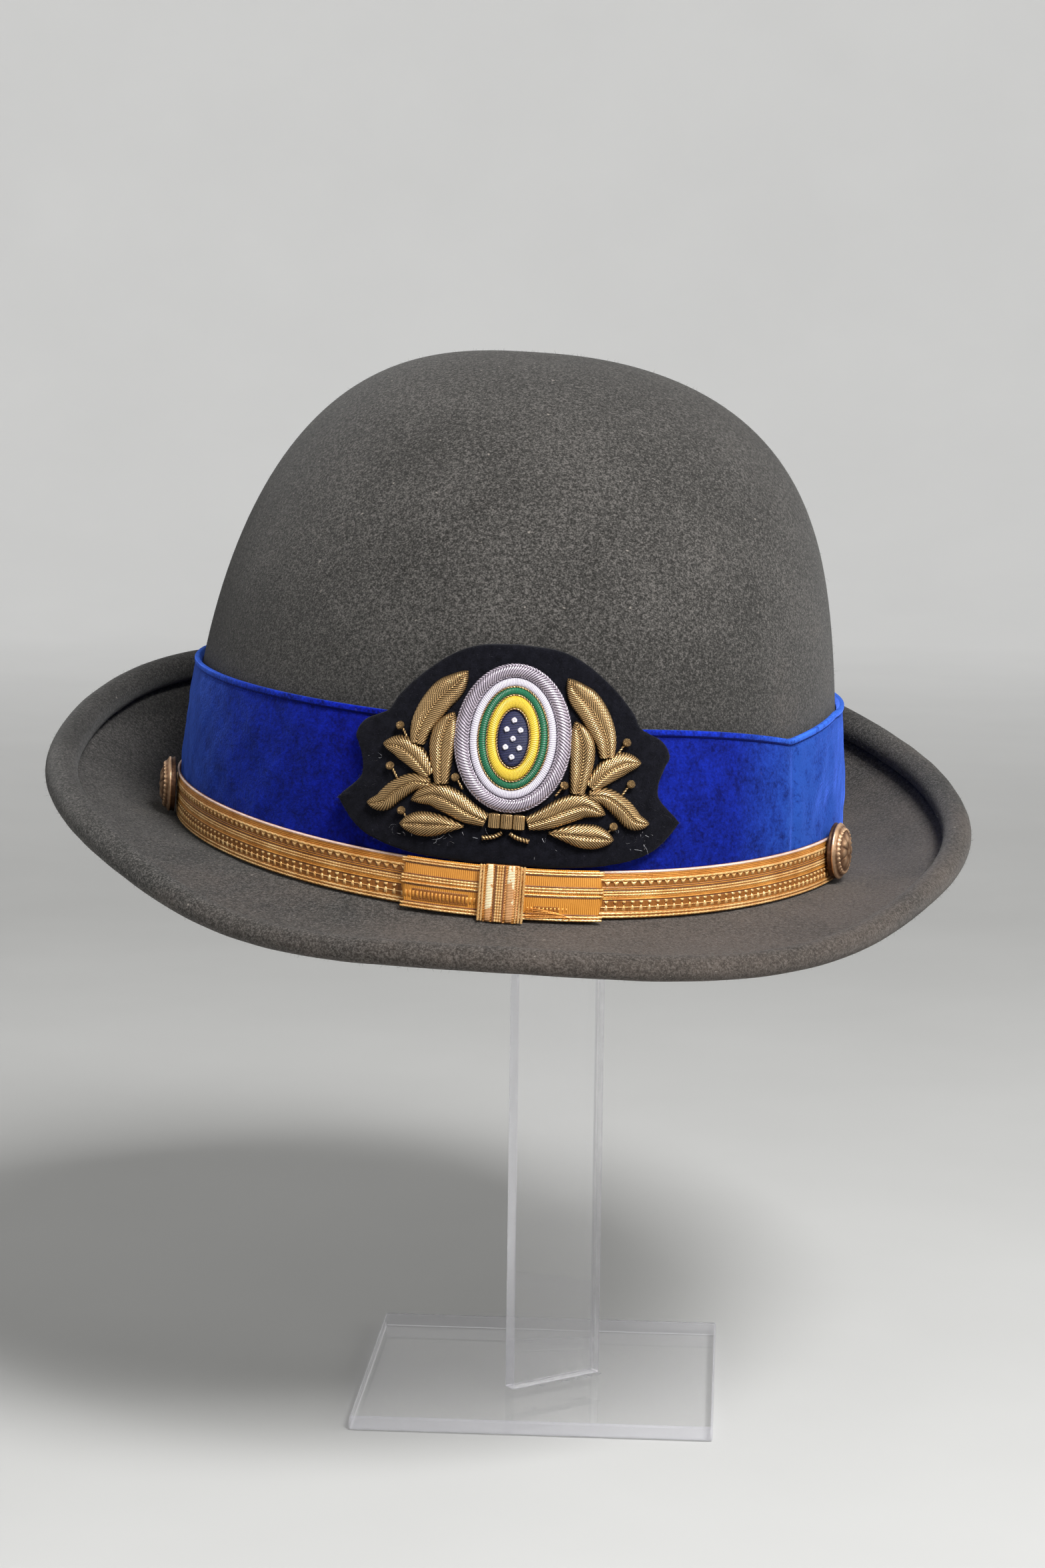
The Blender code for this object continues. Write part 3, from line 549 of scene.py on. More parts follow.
@dataclass(frozen=True)
class ThreadFinish:
    """Thread, wire or braid, laid in one direction."""

    name: str
    deep: Colour
    bright: Colour
    roughness: float = 0.42
    metallic: float = 0.0
    lay: Lay = Lay.NONE
    pitch: float = 0.0003
    relief: float = 0.00012
    stray: float = 0.3
    worn: Colour = (0.0, 0.0, 0.0)
    wear: float = 0.0

    def material(self) -> bpy.types.Material:
        """Mix the material, with a ridge for each thread, painted shade between threads and rubbed
        places if it is worn.

        Returns:
            The material.
        """
        paint = Paint(self.name, Metallic=self.metallic)
        fibre = paint.noise(3200.0, 2.0, 0.6)
        cloud = paint.noise(160.0, 3.0, 0.6)
        height = fibre
        tone = fibre * 0.4 + cloud * 0.6
        if self.lay is not Lay.NONE:
            along, across = paint.uv()
            count = (along if self.lay is Lay.ACROSS else across) * (2.0 / self.pitch)
            ridge = (count + fibre * self.stray).math("PINGPONG", 1.0)
            height = ridge * 0.8 + fibre * 0.2
            # Painted shade and highlight: the colour follows each thread's ridge, dark in the
            # grooves between threads and light on their crests.
            tone = tone * 0.45 + ridge * 0.55
        colour = paint.ramp(tone, (0.30, self.deep), (0.68, self.bright))
        if self.wear:
            rubbed = paint.noise(95.0, 4.0, 0.65).math("GREATER_THAN", 1.0 - self.wear)
            colour = paint.mix(rubbed * 0.8, colour, self.worn)
        paint.feed("Base Color", colour)
        paint.feed("Roughness", fibre * 0.25 + (self.roughness - 0.12))
        paint.bump(height, self.relief, 0.8)
        return paint.material


@dataclass(frozen=True)
class WoolFinish:
    """Dense near-black wool cloth."""

    name: str = "black_wool"
    deep: Colour = (0.0012, 0.0013, 0.0028)
    pale: Colour = (0.0075, 0.0075, 0.0120)

    def material(self) -> bpy.types.Material:
        """Mix the material, with a soft nap.

        Returns:
            The material.
        """
        paint = Paint(self.name, Roughness=0.95, Sheen_Weight=0.06, Sheen_Roughness=0.5,
                      Specular_IOR_Level=0.08)
        nap = paint.noise(2600.0, 3.0, 0.7) * 0.5 + paint.noise(500.0, 4.0, 0.6) * 0.5
        paint.feed("Base Color", paint.ramp(nap, (0.38, self.deep), (0.66, self.pale)))
        paint.bump(nap, 0.0005, 0.8)
        return paint.material


@dataclass(frozen=True)
class GiltFinish:
    """Coppery gilt metal, darker where it is worn."""

    name: str = "copper_gilt"
    deep: Colour = (0.085, 0.042, 0.024)
    mid: Colour = (0.300, 0.160, 0.085)
    bright: Colour = (0.780, 0.500, 0.300)

    def material(self) -> bpy.types.Material:
        """Mix the material, which is bright where its pattern map says it is rubbed.

        Returns:
            The material.
        """
        paint = Paint(self.name, Metallic=0.80)
        wear = paint.noise(700.0, 4.0, 0.65)
        rubbed = paint.uv()[1]
        paint.feed("Base Color", paint.ramp(wear * 0.5 + rubbed * 0.5, (0.28, self.deep),
                                            (0.52, self.mid), (0.78, self.bright)))
        paint.feed("Roughness", 0.66 - wear * 0.2 - rubbed * 0.22)
        paint.bump(wear, 0.0001, 0.6)
        return paint.material


@dataclass(frozen=True)
class AcrylicFinish:
    """Clear acrylic sheet with faint scuffs."""

    name: str = "clear_acrylic"
    tint: Colour = (0.975, 0.972, 0.990)
    solid: float = 0.30
    roughness: float = 0.02
    clear: float = 1.0

    def material(self) -> bpy.types.Material:
        """Mix the material.

        Returns:
            The material.
        """
        paint = Paint(self.name, Base_Color=(*self.tint, 1.0), Transmission_Weight=self.clear,
                      IOR=1.49, Alpha=self.solid)
        scuff = paint.noise(160.0, 6.0, 0.75)
        paint.feed("Roughness", scuff.math("POWER", 4.0) * 0.35 + self.roughness)
        paint.bump(paint.noise(40.0, 2.0, 0.5), 0.0002, 0.05)
        return paint.material


GOLD_CORD = ThreadFinish("gold_cord", (0.62, 0.260, 0.045), (1.00, 0.700, 0.330), 0.28, 0.45)
GOLD_LINE = ThreadFinish("gold_line", (0.42, 0.135, 0.014), (0.88, 0.420, 0.090), 0.32, 0.35)
GOLD_WEAVE = ThreadFinish("gold_weave", (0.26, 0.080, 0.008), (0.66, 0.280, 0.046), 0.38, 0.2,
                          Lay.ALONG, 0.00042, 0.00018)
GOLD_SATIN = ThreadFinish("gold_satin", (0.46, 0.160, 0.016), (0.88, 0.390, 0.068), 0.32, 0.2,
                          Lay.ACROSS, 0.00050, 0.00010)
PINK_EDGE = ThreadFinish("pink_edge", (0.58, 0.34, 0.24), (0.98, 0.76, 0.66), 0.36, 0.2)
BROWN_LINE = ThreadFinish("brown_line", (0.090, 0.030, 0.012), (0.28, 0.110, 0.045), 0.38)
# Painted shade: a darker gold laid under the raised bars, where it shows in the gaps between them.
PAINTED_SHADE_GAP = ThreadFinish("painted_shade_gap", (0.150, 0.045, 0.006), (0.38, 0.140, 0.022),
                        lay=Lay.ACROSS, pitch=0.00040)
CREAM_WORN = ThreadFinish("cream_worn", (0.70, 0.46, 0.20), (1.00, 0.88, 0.62), 0.5,
                          lay=Lay.ALONG, pitch=0.0004, worn=(0.50, 0.18, 0.025), wear=0.46)
# The near-black deep colours of the bullion and silver wire are mostly painted shade between the
# wires.
BULLION = ThreadFinish("gold_bullion", (0.016, 0.007, 0.002), (0.58, 0.370, 0.165), 0.30, 0.70,
                       Lay.ACROSS, 0.00078, 0.00010, 0.12)
SILVER = ThreadFinish("silver_wire", (0.040, 0.034, 0.046), (0.58, 0.50, 0.58), 0.34, 0.45,
                      Lay.ACROSS, 0.00080, 0.00010, 0.12)
WHITE_SATIN = ThreadFinish("white_satin", (0.33, 0.30, 0.36), (0.74, 0.70, 0.78), 0.4,
                           lay=Lay.ACROSS, pitch=0.0005)
GREEN_SATIN = ThreadFinish("green_satin", (0.0006, 0.040, 0.018), (0.002, 0.170, 0.070),
                           lay=Lay.ACROSS, pitch=0.0005)
YELLOW_SATIN = ThreadFinish("yellow_satin", (0.42, 0.260, 0.010), (0.86, 0.620, 0.055),
                            lay=Lay.ACROSS, pitch=0.0005)
NAVY_SATIN = ThreadFinish("navy_satin", (0.0015, 0.002, 0.014), (0.006, 0.009, 0.070), 0.6,
                          lay=Lay.ALONG, pitch=0.0004)


@dataclass(frozen=True)
class CrownSide:
    """Shape of the crown's outline on one side: exponents of its curve, and its lean."""

    fullness: float
    shoulder: float
    lean: float


@dataclass
class HatShape:
    """The hat's own form, which everything on it follows.

    The brim's reach, rise and roll are shares of its sizes at even turns from the front.
    """

    head_width: float = 0.180
    head_length: float = 0.202
    crown_height: float = 0.132
    felt_wall: float = 0.0024
    fillet: float = 0.0028
    saddle_dip: float = 0.0044
    brim_reach: float = 0.042
    brim_rise: float = 0.0355
    brim_hollow: float = 13.0
    roll_diameter: float = 0.0094
    roll_curl: float = 268.0
    band_top: float = 0.0435
    trim_turn: float = -1.5
    left: CrownSide = CrownSide(2.86, 1.67, -0.122)
    right: CrownSide = CrownSide(2.19, 5.10, 0.143)
    front: CrownSide = CrownSide(2.20, 2.30, 0.0)
    reach: tuple[float, ...] = (0.97, 0.98, 0.80, 0.75, 0.72, 0.69, 0.67, 0.70, 0.80, 0.82,
                                0.87, 0.88)
    rise: tuple[float, ...] = (-0.215, -0.185, 0.100, 0.370, 0.685, 0.960, 1.000, 0.905, 0.770,
                               0.425, 0.140, -0.255)
    roll: tuple[float, ...] = (0.68, 0.67, 0.75, 0.87, 0.92, 1.00, 1.00, 1.00, 0.93, 0.94,
                               0.88, 0.68)
    place: tuple[float, float, float] = (-0.0090, -0.0140, 0.1623)
    tilts: tuple[float, float, float] = (1.0, 3.55, 3.6)

    def world(self, points: np.ndarray) -> np.ndarray:
        """Return points of the hat's own frame in the row frame."""
        turn = np.array(Euler([math.radians(tilt) for tilt in self.tilts]).to_matrix())
        return points @ turn.T + np.array(self.place)

    def side_share(self, side: CrownSide, height: np.ndarray | float) -> np.ndarray:
        """Return how far out one side of the crown lies, as a share of its foot."""
        share = np.clip(height / self.crown_height, 0.0, 1.0)
        curve = np.maximum(1.0 - share ** side.shoulder, 0.0) ** (1.0 / side.fullness)
        return curve * (1.0 - side.lean * share)

    def crown(self, turn: np.ndarray | float, height: np.ndarray | float) -> np.ndarray:
        """Find points on the outside of the crown.

        Args:
            turn: Turns round the hat.
            height: Heights above the crown's foot.

        Returns:
            The points.
        """
        sine, cosine = np.sin(np.radians(turn)), np.cos(np.radians(turn))
        side = np.where(sine > 0.0, self.side_share(self.right, height),
                        self.side_share(self.left, height))
        along = 0.5 * self.head_length * self.side_share(self.front, height)
        return stacked(0.5 * self.head_width * side * sine, -along * cosine, height)

    def outward(self, turn: np.ndarray | float, height: np.ndarray | float) -> np.ndarray:
        """Return the level unit vectors that point out of the crown's wall."""
        edge = self.crown(turn + 0.01, height) - self.crown(turn - 0.01, height)
        way = stacked(edge[..., 1], -edge[..., 0], 0.0)
        return way / np.linalg.norm(way, axis=-1)[..., None]

    def wall(self, turn: np.ndarray | float, height: np.ndarray | float,
             depth: np.ndarray | float) -> np.ndarray:
        """Find points in front of the crown's wall, which leans on above the band.

        Args:
            turn: Turns round the hat.
            height: Heights above the crown's foot.
            depth: Depths in front of the wall.

        Returns:
            The points.
        """
        seat = np.minimum(height, self.band_top)
        foot = self.crown(turn, seat)
        lean = (foot - self.crown(turn, seat - self.felt_wall)) / self.felt_wall
        return (foot + lean * np.asarray(height - seat)[..., None]
                + self.outward(turn, seat) * np.asarray(depth)[..., None])

    def wall_normal(self, turn: float, height: float) -> np.ndarray:
        """Return the unit vector square to the crown's wall, which leans."""
        rising = self.crown(turn, height + 0.001) - self.crown(turn, height - 0.001)
        way = np.cross(np.cross((0.0, 0.0, 1.0), self.outward(turn, height)), rising)
        return way / np.linalg.norm(way)

    def junction(self, turn: np.ndarray | float) -> np.ndarray:
        """Return the height at which the brim's top meets the crown."""
        return -self.saddle_dip * np.cos(np.radians(turn)) ** 2

    def round_brim(self, column: Sequence[float], turn: np.ndarray) -> np.ndarray:
        """Read one column of the brim's table smoothly.

        Args:
            column: Its values at even turns from the front.
            turn: The turns that are wanted.

        Returns:
            A value for each turn.
        """
        values = np.array(column)
        place = (turn % 360.0) / (360.0 / len(values))
        first = np.floor(place).astype(int)
        part = place - first
        before, here, after, beyond = (values[(first + k) % len(values)] for k in (-1, 0, 1, 2))
        blend = part * part * (3.0 - 2.0 * part)
        return (here + (after - here) * blend + 0.5 * (after - before) * part * (1.0 - part) ** 2
                - 0.5 * (beyond - here) * part ** 2 * (1.0 - part))

    def edge(self, turn: np.ndarray) -> tuple[np.ndarray, ...]:
        """Return the brim's foot, reach, rise, roll radius and slope at turns."""
        foot = self.junction(turn)
        reach, rise, radius = (
            size * self.round_brim(column, turn)
            for size, column in ((self.brim_reach, self.reach), (self.brim_rise, self.rise),
                                 (0.5 * self.roll_diameter, self.roll)))
        return foot, reach, rise, radius, np.arctan2(rise - foot, reach)

    def brim(self, turn: np.ndarray, rows: tuple[int, int, int]) -> tuple[np.ndarray, ...]:
        """Draw the brim's top line as offsets from the crown and heights.

        Args:
            turn: The turns, of shape (columns,).
            rows: Steps over the fillet, the flat and the curl.

        Returns:
            Offsets and heights, each of shape (columns, steps + 1).
        """
        base, reach, rise, radius, slope = self.edge(turn[:, None])
        bore = radius - self.felt_wall
        leave = slope - math.radians(self.brim_hollow)
        arrive = slope + math.radians(self.brim_hollow)
        bend = -0.5 * math.pi + (leave + 0.5 * math.pi) * np.linspace(0.0, 1.0, rows[0] + 1)
        curl = arrive + math.radians(self.roll_curl) * np.linspace(0.0, 1.0, rows[2] + 1)
        fillet = (self.fillet * (1.0 + np.sin(bend)), base + self.fillet * (1.0 - np.cos(bend)))
        roll = (reach + bore * np.sin(curl), rise - bore * np.cos(curl))
        first = [part[:, -1:] for part in fillet]
        last = [part[:, :1] for part in roll]
        pull = np.hypot(last[0] - first[0], last[1] - first[1]) / 3.0
        near = (first[0] + pull * np.cos(leave), first[1] + pull * np.sin(leave))
        far = (last[0] - pull * np.cos(arrive), last[1] - pull * np.sin(arrive))
        s = np.arange(1, rows[1])[None, :] / rows[1]
        weights = ((1 - s) ** 3, 3 * s * (1 - s) ** 2, 3 * s * s * (1 - s), s ** 3)
        points = (first, near, far, last)
        flat = [sum(weight * point[axis] for weight, point in zip(weights, points))
                for axis in (0, 1)]
        return tuple(np.concatenate(parts, axis=1) for parts in zip(fillet, flat, roll))

    def roll_point(self, turn: np.ndarray, angle: np.ndarray) -> tuple[np.ndarray, np.ndarray]:
        """Find points on the outside of the rolled edge, and the ways that they face.

        Args:
            turn: Turns round the hat.
            angle: Turns round the roll, in degrees from where the brim runs into it.

        Returns:
            Points and unit vectors in the hat's frame.
        """
        _, reach, rise, radius, slope = self.edge(turn)
        bend = slope + np.radians(self.brim_hollow + angle)
        out = self.outward(turn, 0.0)
        up = np.array((0.0, 0.0, 1.0))
        way = out * np.sin(bend)[:, None] - up * np.cos(bend)[:, None]
        return (self.crown(turn, 0.0) + out * reach[:, None] + up * rise[:, None]
                + way * radius[:, None], way)


@dataclass
class FeltBody:
    """Crown and brim, one piece of felt with a rolled edge."""

    shape: HatShape
    columns: int = 288
    crown_rows: int = 52
    brim_rows: tuple[int, int, int] = (5, 18, 24)
    unevenness: float = 0.00009
    edge_hairs: int = 7000
    crown_hairs: int = 4500
    hair_thickness: float = 0.000045

    def build(self) -> None:
        """Build the felt."""
        shape = self.shape
        turn = np.linspace(-180.0, 180.0, self.columns + 1)
        offsets, heights = shape.brim(turn, self.brim_rows)
        start = heights[:, :1]
        share = 1.0 - np.linspace(0.0, 1.0, self.crown_rows + 1)[:-1] ** 2.2
        crown = shape.crown(turn[:, None], start + (shape.crown_height - start) * share)
        brim = (shape.crown(turn, 0.0)[:, None, :]
                + shape.outward(turn, 0.0)[:, None, :] * offsets[..., None])
        brim[..., 2] = heights
        brim[:, 0] = shape.crown(turn, heights[:, 0])
        table = np.concatenate([crown, brim], axis=1)
        table[-1] = table[0]
        rough = smooth_noise(table, 0.060, 3) + 0.4 * smooth_noise(table, 0.016, 4)
        fade = np.ones(table.shape[1])
        fade[:self.crown_rows] = np.linspace(0.0, 1.0, self.crown_rows) ** 2
        table[..., 2] += self.unevenness * rough * fade
        piece = sheet("felt_hat", shape.world(table), FeltFinish().material())
        top = max(piece.data.polygons, key=lambda face: face.center.z)
        if top.normal.z < 0.0:
            piece.data.flip_normals()
        wall = piece.modifiers.new("wall", "SOLIDIFY")
        wall.thickness = shape.felt_wall
        wall.offset = -1.0
        wall.use_even_offset = True
        bpy.context.view_layer.objects.active = piece
        bpy.ops.object.modifier_apply(modifier="wall")
        settle(piece, "felt", "felt_body")

    def build_fuzz(self) -> None:
        """Build the loose fibres that stand on the rolled edge and the crown."""
        draw = np.random.default_rng(7)
        shape = self.shape
        turn = draw.uniform(-180.0, 180.0, self.edge_hairs)
        rim, rim_way = shape.roll_point(turn, draw.uniform(0.0, shape.roll_curl, len(turn)))
        turn = draw.uniform(-180.0, 180.0, self.crown_hairs)
        share = 1.0 - draw.uniform(0.0, 1.0, len(turn)) ** 1.4
        height = shape.band_top + (shape.crown_height - shape.band_top) * share
        wall = shape.crown(turn, height)
        rising = shape.crown(turn, height + 0.0002) - wall
        wall_way = np.cross(np.cross((0.0, 0.0, 1.0), shape.outward(turn, height)), rising)
        wall_way /= np.linalg.norm(wall_way, axis=1)[:, None] + 1e-9
        ways = np.concatenate([rim_way, wall_way])
        points = np.concatenate([rim, wall]) - 0.0001 * ways
        ways = 0.75 * ways + draw.normal(scale=0.55, size=ways.shape)
        lengths = draw.uniform(0.0005, 0.0013, len(points))
        lengths[::23] *= 1.7
        axes = hair_axes(shape.world(ways) - shape.world(np.zeros(3)), lengths,
                         self.hair_thickness, 8)
        fibre = ThreadFinish("felt_fibre", (0.050, 0.054, 0.044), (0.130, 0.135, 0.115), 0.8)
        settle(scattered("felt_fuzz", hair(fibre.material(), 1.3, 3), axes,
                         shape.world(points)), "felt")


@dataclass
class VelvetBand:
    """The velvet band, with a folded hem along its top.

    The notch has a depth, a turn, and how far it runs to the left and right of it. The dent has
    a depth, a turn and its spread, a height and its spread. The crease has a depth, a turn past
    the notch and its spread.
    """

    shape: HatShape
    wall: float = 0.0017
    back: float = 0.0003
    hem: float = 0.0014
    hem_relief: float = 0.0005
    groove: float = 0.0003
    softness: float = 0.00016
    notch: tuple[float, float, float, float] = (0.0040, 52.0, 30.0, 20.0)
    dent: tuple[float, float, float, float, float] = (0.0013, 67.0, 4.2, 0.020, 0.0055)
    crease: tuple[float, float, float] = (0.0008, 1.5, 1.1)
    columns: int = 480

    def top(self, turn: np.ndarray) -> np.ndarray:
        """Return the height of the top edge, which sinks to a notch on the right."""
        drop, place, run, step = self.notch
        past = turn - place
        sunk = drop * np.clip(1.0 + past / run, 0.0, 1.0) ** 2
        back_up = np.clip(1.0 - past / step, 0.0, 1.0)
        return self.shape.band_top - sunk * np.where(past > 0.0, back_up, 1.0)

    def build(self) -> None:
        """Build the band."""
        shape = self.shape
        turn = np.linspace(-180.0, 180.0, self.columns + 1)[:, None]
        foot = shape.junction(turn) + 0.8 * shape.fillet
        head = self.top(turn)
        low = head - self.hem
        front = self.back + self.wall
        rise = np.linspace(0.0, 1.0, 33)[None, :]
        bend = np.linspace(0.0, math.pi, 9)[None, :]
        over = 1.0 - np.cos(0.5 * bend)
        section = (
            (foot + (low - foot) * rise[:, ::8], self.back),
            (low + self.hem * over, self.back + 0.5 * (self.wall + self.hem_relief) * over),
            (low + self.hem * np.cos(0.5 * bend[:, 1:]),
             front + self.hem_relief * (0.6 + 0.4 * np.sin(bend[:, 1:]))),
            (low - self.groove, front - self.groove),
            (low + (foot - low) * rise[:, 1:], front),
            (foot, self.back))
        rows = np.concatenate([stacked(height, depth) for height, depth in section], axis=1)
        height, depth = rows[..., 0], rows[..., 1]
        points = shape.wall(turn, height, depth)
        soft = smooth_noise(points, 0.022, 11) + 0.6 * smooth_noise(points, 0.009, 12)
        outside = (depth > self.back + 0.5 * self.wall) & (height < low - 0.0005)
        deep, place, spread, level, tall = self.dent
        dent = deep * np.exp(-((turn - place) / spread) ** 2 - ((height - level) / tall) ** 2)
        deep, past, spread = self.crease
        crease = deep * np.exp(-((turn - self.notch[1] - past) / spread) ** 2)
        depth = depth + outside * (self.softness * soft - dent - crease)
        table = beside(shape.world(shape.wall(turn, height, depth)),
                       stacked(turn / 90.0, (head - height) / MM))
        table[-1, :, :3] = table[0, :, :3]
        piece = sheet("velvet_cloth_band", table, VelvetFinish().material())
        settle(piece, "velvet", "velvet_band")


@dataclass
class BraidTrim:
    """Strap, bow and knot of gold braid round the crown's foot."""

    shape: HatShape
    strap_height: float = 0.0122
    strap_back: float = 0.0023
    strap_wall: float = 0.0012
    strap_ends: Pair = (-94.0, 71.0)
    bow_width: float = 0.0505
    bow_height: float = 0.0130
    bow_back: float = 0.0038
    bow_wall: float = 0.0021
    knot_width: float = 0.0112
    knot_height: float = 0.0146
    knot_back: float = 0.0062
    knot_wall: float = 0.0011
    clearance: float = 0.0003
    bead: float = 0.00086

    def __post_init__(self) -> None:
        """Measure the crown's wall and mix the finishes."""
        self.turns = np.linspace(-150.0, 150.0, 1201)
        self.lengths = run_lengths(
            self.shape.wall(self.turns, self.shape.junction(self.turns) + 0.006, 0.0030))
        self.lengths -= np.interp(self.shape.trim_turn, self.turns, self.lengths)
        self.paints = {finish.name: finish.material()
                       for finish in (GOLD_CORD, GOLD_LINE, GOLD_WEAVE, GOLD_SATIN, PINK_EDGE,
                                      BROWN_LINE, PAINTED_SHADE_GAP, CREAM_WORN)}

    def slab(self, first: float, last: float, low: float, high: float, wall: float,
             step: float = 0.0015, rounding: float = 0.0004) -> np.ndarray:
        """Draw a closed flat strip with rounded edges.

        Args:
            first: Where it starts along the braid.
            last: Where it ends.
            low: Height of its lower edge.
            high: Height of its upper edge.
            wall: Its thickness.
            step: Length of its faces.
            rounding: Radius of its edges.

        Returns:
            Flat places with depths.
        """
        half = 0.5 * (high - low)
        corner = half - rounding
        inner = np.linspace(corner, -corner, 12)[1:-1]
        ups = np.array([corner, half, half, corner, *inner, -corner, -half, -half, -corner,
                        corner])
        outs = np.array([0.0, rounding, wall - rounding, *[wall] * (len(inner) + 2),
                         wall - rounding, rounding, 0.0, 0.0])
        along = np.linspace(first, last, max(3, round((last - first) / step)) + 1)[:, None]
        inset = np.ones_like(along)
        inset[0] = inset[-1] = 0.0
        table = stacked(along, 0.5 * (low + high) + ups * inset,
                        0.5 * wall + (outs - 0.5 * wall) * inset)
        return beside(table, table[..., :2])

    def ladder(self, first: float, last: float, high: float, low: float, pitch: float,
               point: float, out: float, duty: float) -> np.ndarray:
        """Draw a row of raised bars.

        Args:
            first: Where the row starts along the braid.
            last: Where it ends.
            high: Height of the bars' heads.
            low: Height of their feet.
            pitch: Length from bar to bar.
            point: How far the feet are drawn to points, as a share.
            out: How far out the bars stand.
            duty: Width of a bar as a share of the pitch.

        Returns:
            Flat places with depths.
        """
        count = 10 * round((last - first) / pitch)
        along = np.linspace(first, last, count + 1)[:, None]
        peak = np.sin(math.pi * ((along - first) / pitch % 1.0))
        bar = np.clip((peak - math.cos(0.5 * math.pi * duty)) * 3.0 / duty, -0.35, 1.0)
        drop = np.linspace(0.0, 1.0, 5)[None, :]
        reach = 1.0 - point * np.clip((1.0 - peak) * 2.5, 0.0, 1.0)
        edge = 1.0 - np.abs(2.0 * drop - 1.0) ** 4 * 0.6
        table = stacked(along, high + (low - high) * drop * reach,
                        out * np.where(bar > 0.0, bar * edge, bar))
        return beside(table, table[..., :2])

    def cords(self, paint: str, span: Pair, out: float, rows: Sequence[Pair],
              step: float = 0.002, around: int = 6, **twist: float
              ) -> list[tuple[str, np.ndarray]]:
        """Draw level cords of one kind.

        Args:
            paint: Name of their finish.
            span: Where they start and end along the braid.
            out: Depth of their middle.
            rows: Height and radius of each, in millimetres.
            step: Length of their faces.
            around: Steps around them.
            twist: Further sizes for tube.

        Returns:
            A finish and a table for each.
        """
        return [(paint, tube(level_run(*span, up * MM, step), out, radius * MM, around, **twist))
                for up, radius in rows]

    def laid(self, tables: Sequence[tuple[str, np.ndarray]], height: float, back: float,
             name: str, node: str) -> None:
        """Lay flat tables, drawn along the braid and up it, on the crown's wall.

        Args:
            tables: A finish and a table for each part.
            height: Height of the whole, which is centred on the strap's.
            back: Its depth in front of the wall.
            name: Name of the piece.
            node: The solid that it stands for.
        """
        parts = []
        for k, (paint, table) in enumerate(tables):
            turn = np.interp(table[..., 0], self.lengths, self.turns)
            up = (self.shape.junction(turn) + table[..., 1] + self.clearance
                  + 0.5 * (self.strap_height - height))
            table[..., :3] = self.shape.world(self.shape.wall(turn, up, back + table[..., 2]))
            parts.append(sheet(f"{name}_{k}", table, self.paints[paint]))
        settle(joined(name, parts), "braid", node)

    def build_strap(self) -> None:
        """Build the strap from button to button."""
        span = tuple(float(np.interp(self.shape.trim_turn + turn, self.turns, self.lengths))
                     for turn in self.strap_ends)
        ground = 0.50 * self.strap_wall
        raised = ground + 0.1 * MM
        parts = [("gold_weave", self.slab(*span, 0.0, self.strap_height, ground))]
        parts += self.cords("pink_edge", span, ground, ((11.85, 0.36),), around=7)
        parts += self.cords("gold_line", span, ground, (
            (11.35, 0.17), (10.95, 0.17), (10.55, 0.17), (7.60, 0.18), (5.75, 0.16),
            (5.45, 0.16), (5.05, 0.26)))
        parts += self.cords("gold_cord", span, raised, ((9.85, 0.40),), 0.0003, 8,
                            pitch=1.95 * MM, cut=0.45)
        parts += self.cords("gold_cord", span, raised, ((1.35, 0.30), (0.55, 0.34)), 0.0003, 8,
                            pitch=1.3 * MM, cut=0.45)
        parts += self.cords("brown_line", span, ground, ((7.92, 0.14), (7.28, 0.14),
                                                         (4.78, 0.14)))
        parts += self.cords("gold_cord", span, ground, ((6.80, 0.34), (6.12, 0.34)), 0.00021, 5,
                            beads=self.bead)
        # Painted shade in the gaps between the raised bars.
        parts += [("painted_shade_gap", self.slab(*span, low * MM, high * MM, ground + 0.04 * MM, 0.002,
                                         0.0001))
                  for high, low in ((9.45, 8.15), (4.65, 1.80))]
        parts += [("gold_cord", self.ladder(*span, high * MM, low * MM, 2.35 * MM, point,
                                            ground + 0.32 * MM, duty))
                  for high, low, point, duty in ((9.60, 8.12, 0.92, 0.90),
                                                 (4.70, 3.70, 0.80, 0.55),
                                                 (1.75, 3.75, 0.85, 0.50))]
        parts += self.cords("gold_cord", span, ground + 0.08 * MM, ((2.95, 0.14),))
        self.laid(parts, self.strap_height, self.strap_back, "strap_of_braid", "braid_strap")

    def build_bow(self) -> None:
        """Build the flat bow, with loose threads at its right."""
        half = 0.5 * self.bow_width
        face = 0.80 * self.bow_wall
        edge = half - 0.3 * MM
        span = (-edge, edge)
        parts = [("gold_satin", self.slab(-half, half, 0.0, self.bow_height, face,
                                          rounding=0.0006))]
        parts += self.cords("gold_cord", span, face + 0.1 * MM, (
            (12.60, 0.28), (11.95, 0.28), (6.55, 0.26), (1.30, 0.34), (0.50, 0.36)), 0.0002, 7,
            pitch=1.0 * MM, cut=0.4)
        parts += self.cords("brown_line", span, face, ((11.55, 0.16), (8.75, 0.16), (6.15, 0.16),
                                                       (1.80, 0.16)))
        parts += self.cords("gold_cord", span, face, ((8.22, 0.36), (7.50, 0.36)), 0.00021, 5,
                            beads=self.bead)
        for first, last, high, point, duty in ((1 * MM - edge, -6 * MM, 5.3, 0.0, 0.80),
                                               (6 * MM, 16 * MM, 3.8, 0.9, 0.55)):
            # Painted shade in the gaps between the bow's bars.
            parts.append(("painted_shade_gap", self.slab(first, last, 2.2 * MM, high * MM,
                                                face + 0.03 * MM, 0.002, 0.0001)))
            parts.append(("gold_line", self.ladder(first, last, high * MM, 2.2 * MM, 0.95 * MM,
                                                   point, face + 0.22 * MM, duty)))
        for k in range(6):
            route = MM * spline([(5.9, 2.6 - 0.35 * k), (8.5, 3.1 - 0.42 * k),
                                 (12.5 + 0.8 * k, 2.5 - 0.25 * k),
                                 (14.0 + k % 3, 2.2 - 0.40 * k)], 12)
            parts.append(("gold_line", tube(route, face + (0.35 + 0.1 * (k % 3)) * MM,
                                            0.11 * MM, 5)))
        self.laid(parts, self.bow_height, self.bow_back, "bow_of_braid", "braid_bow")

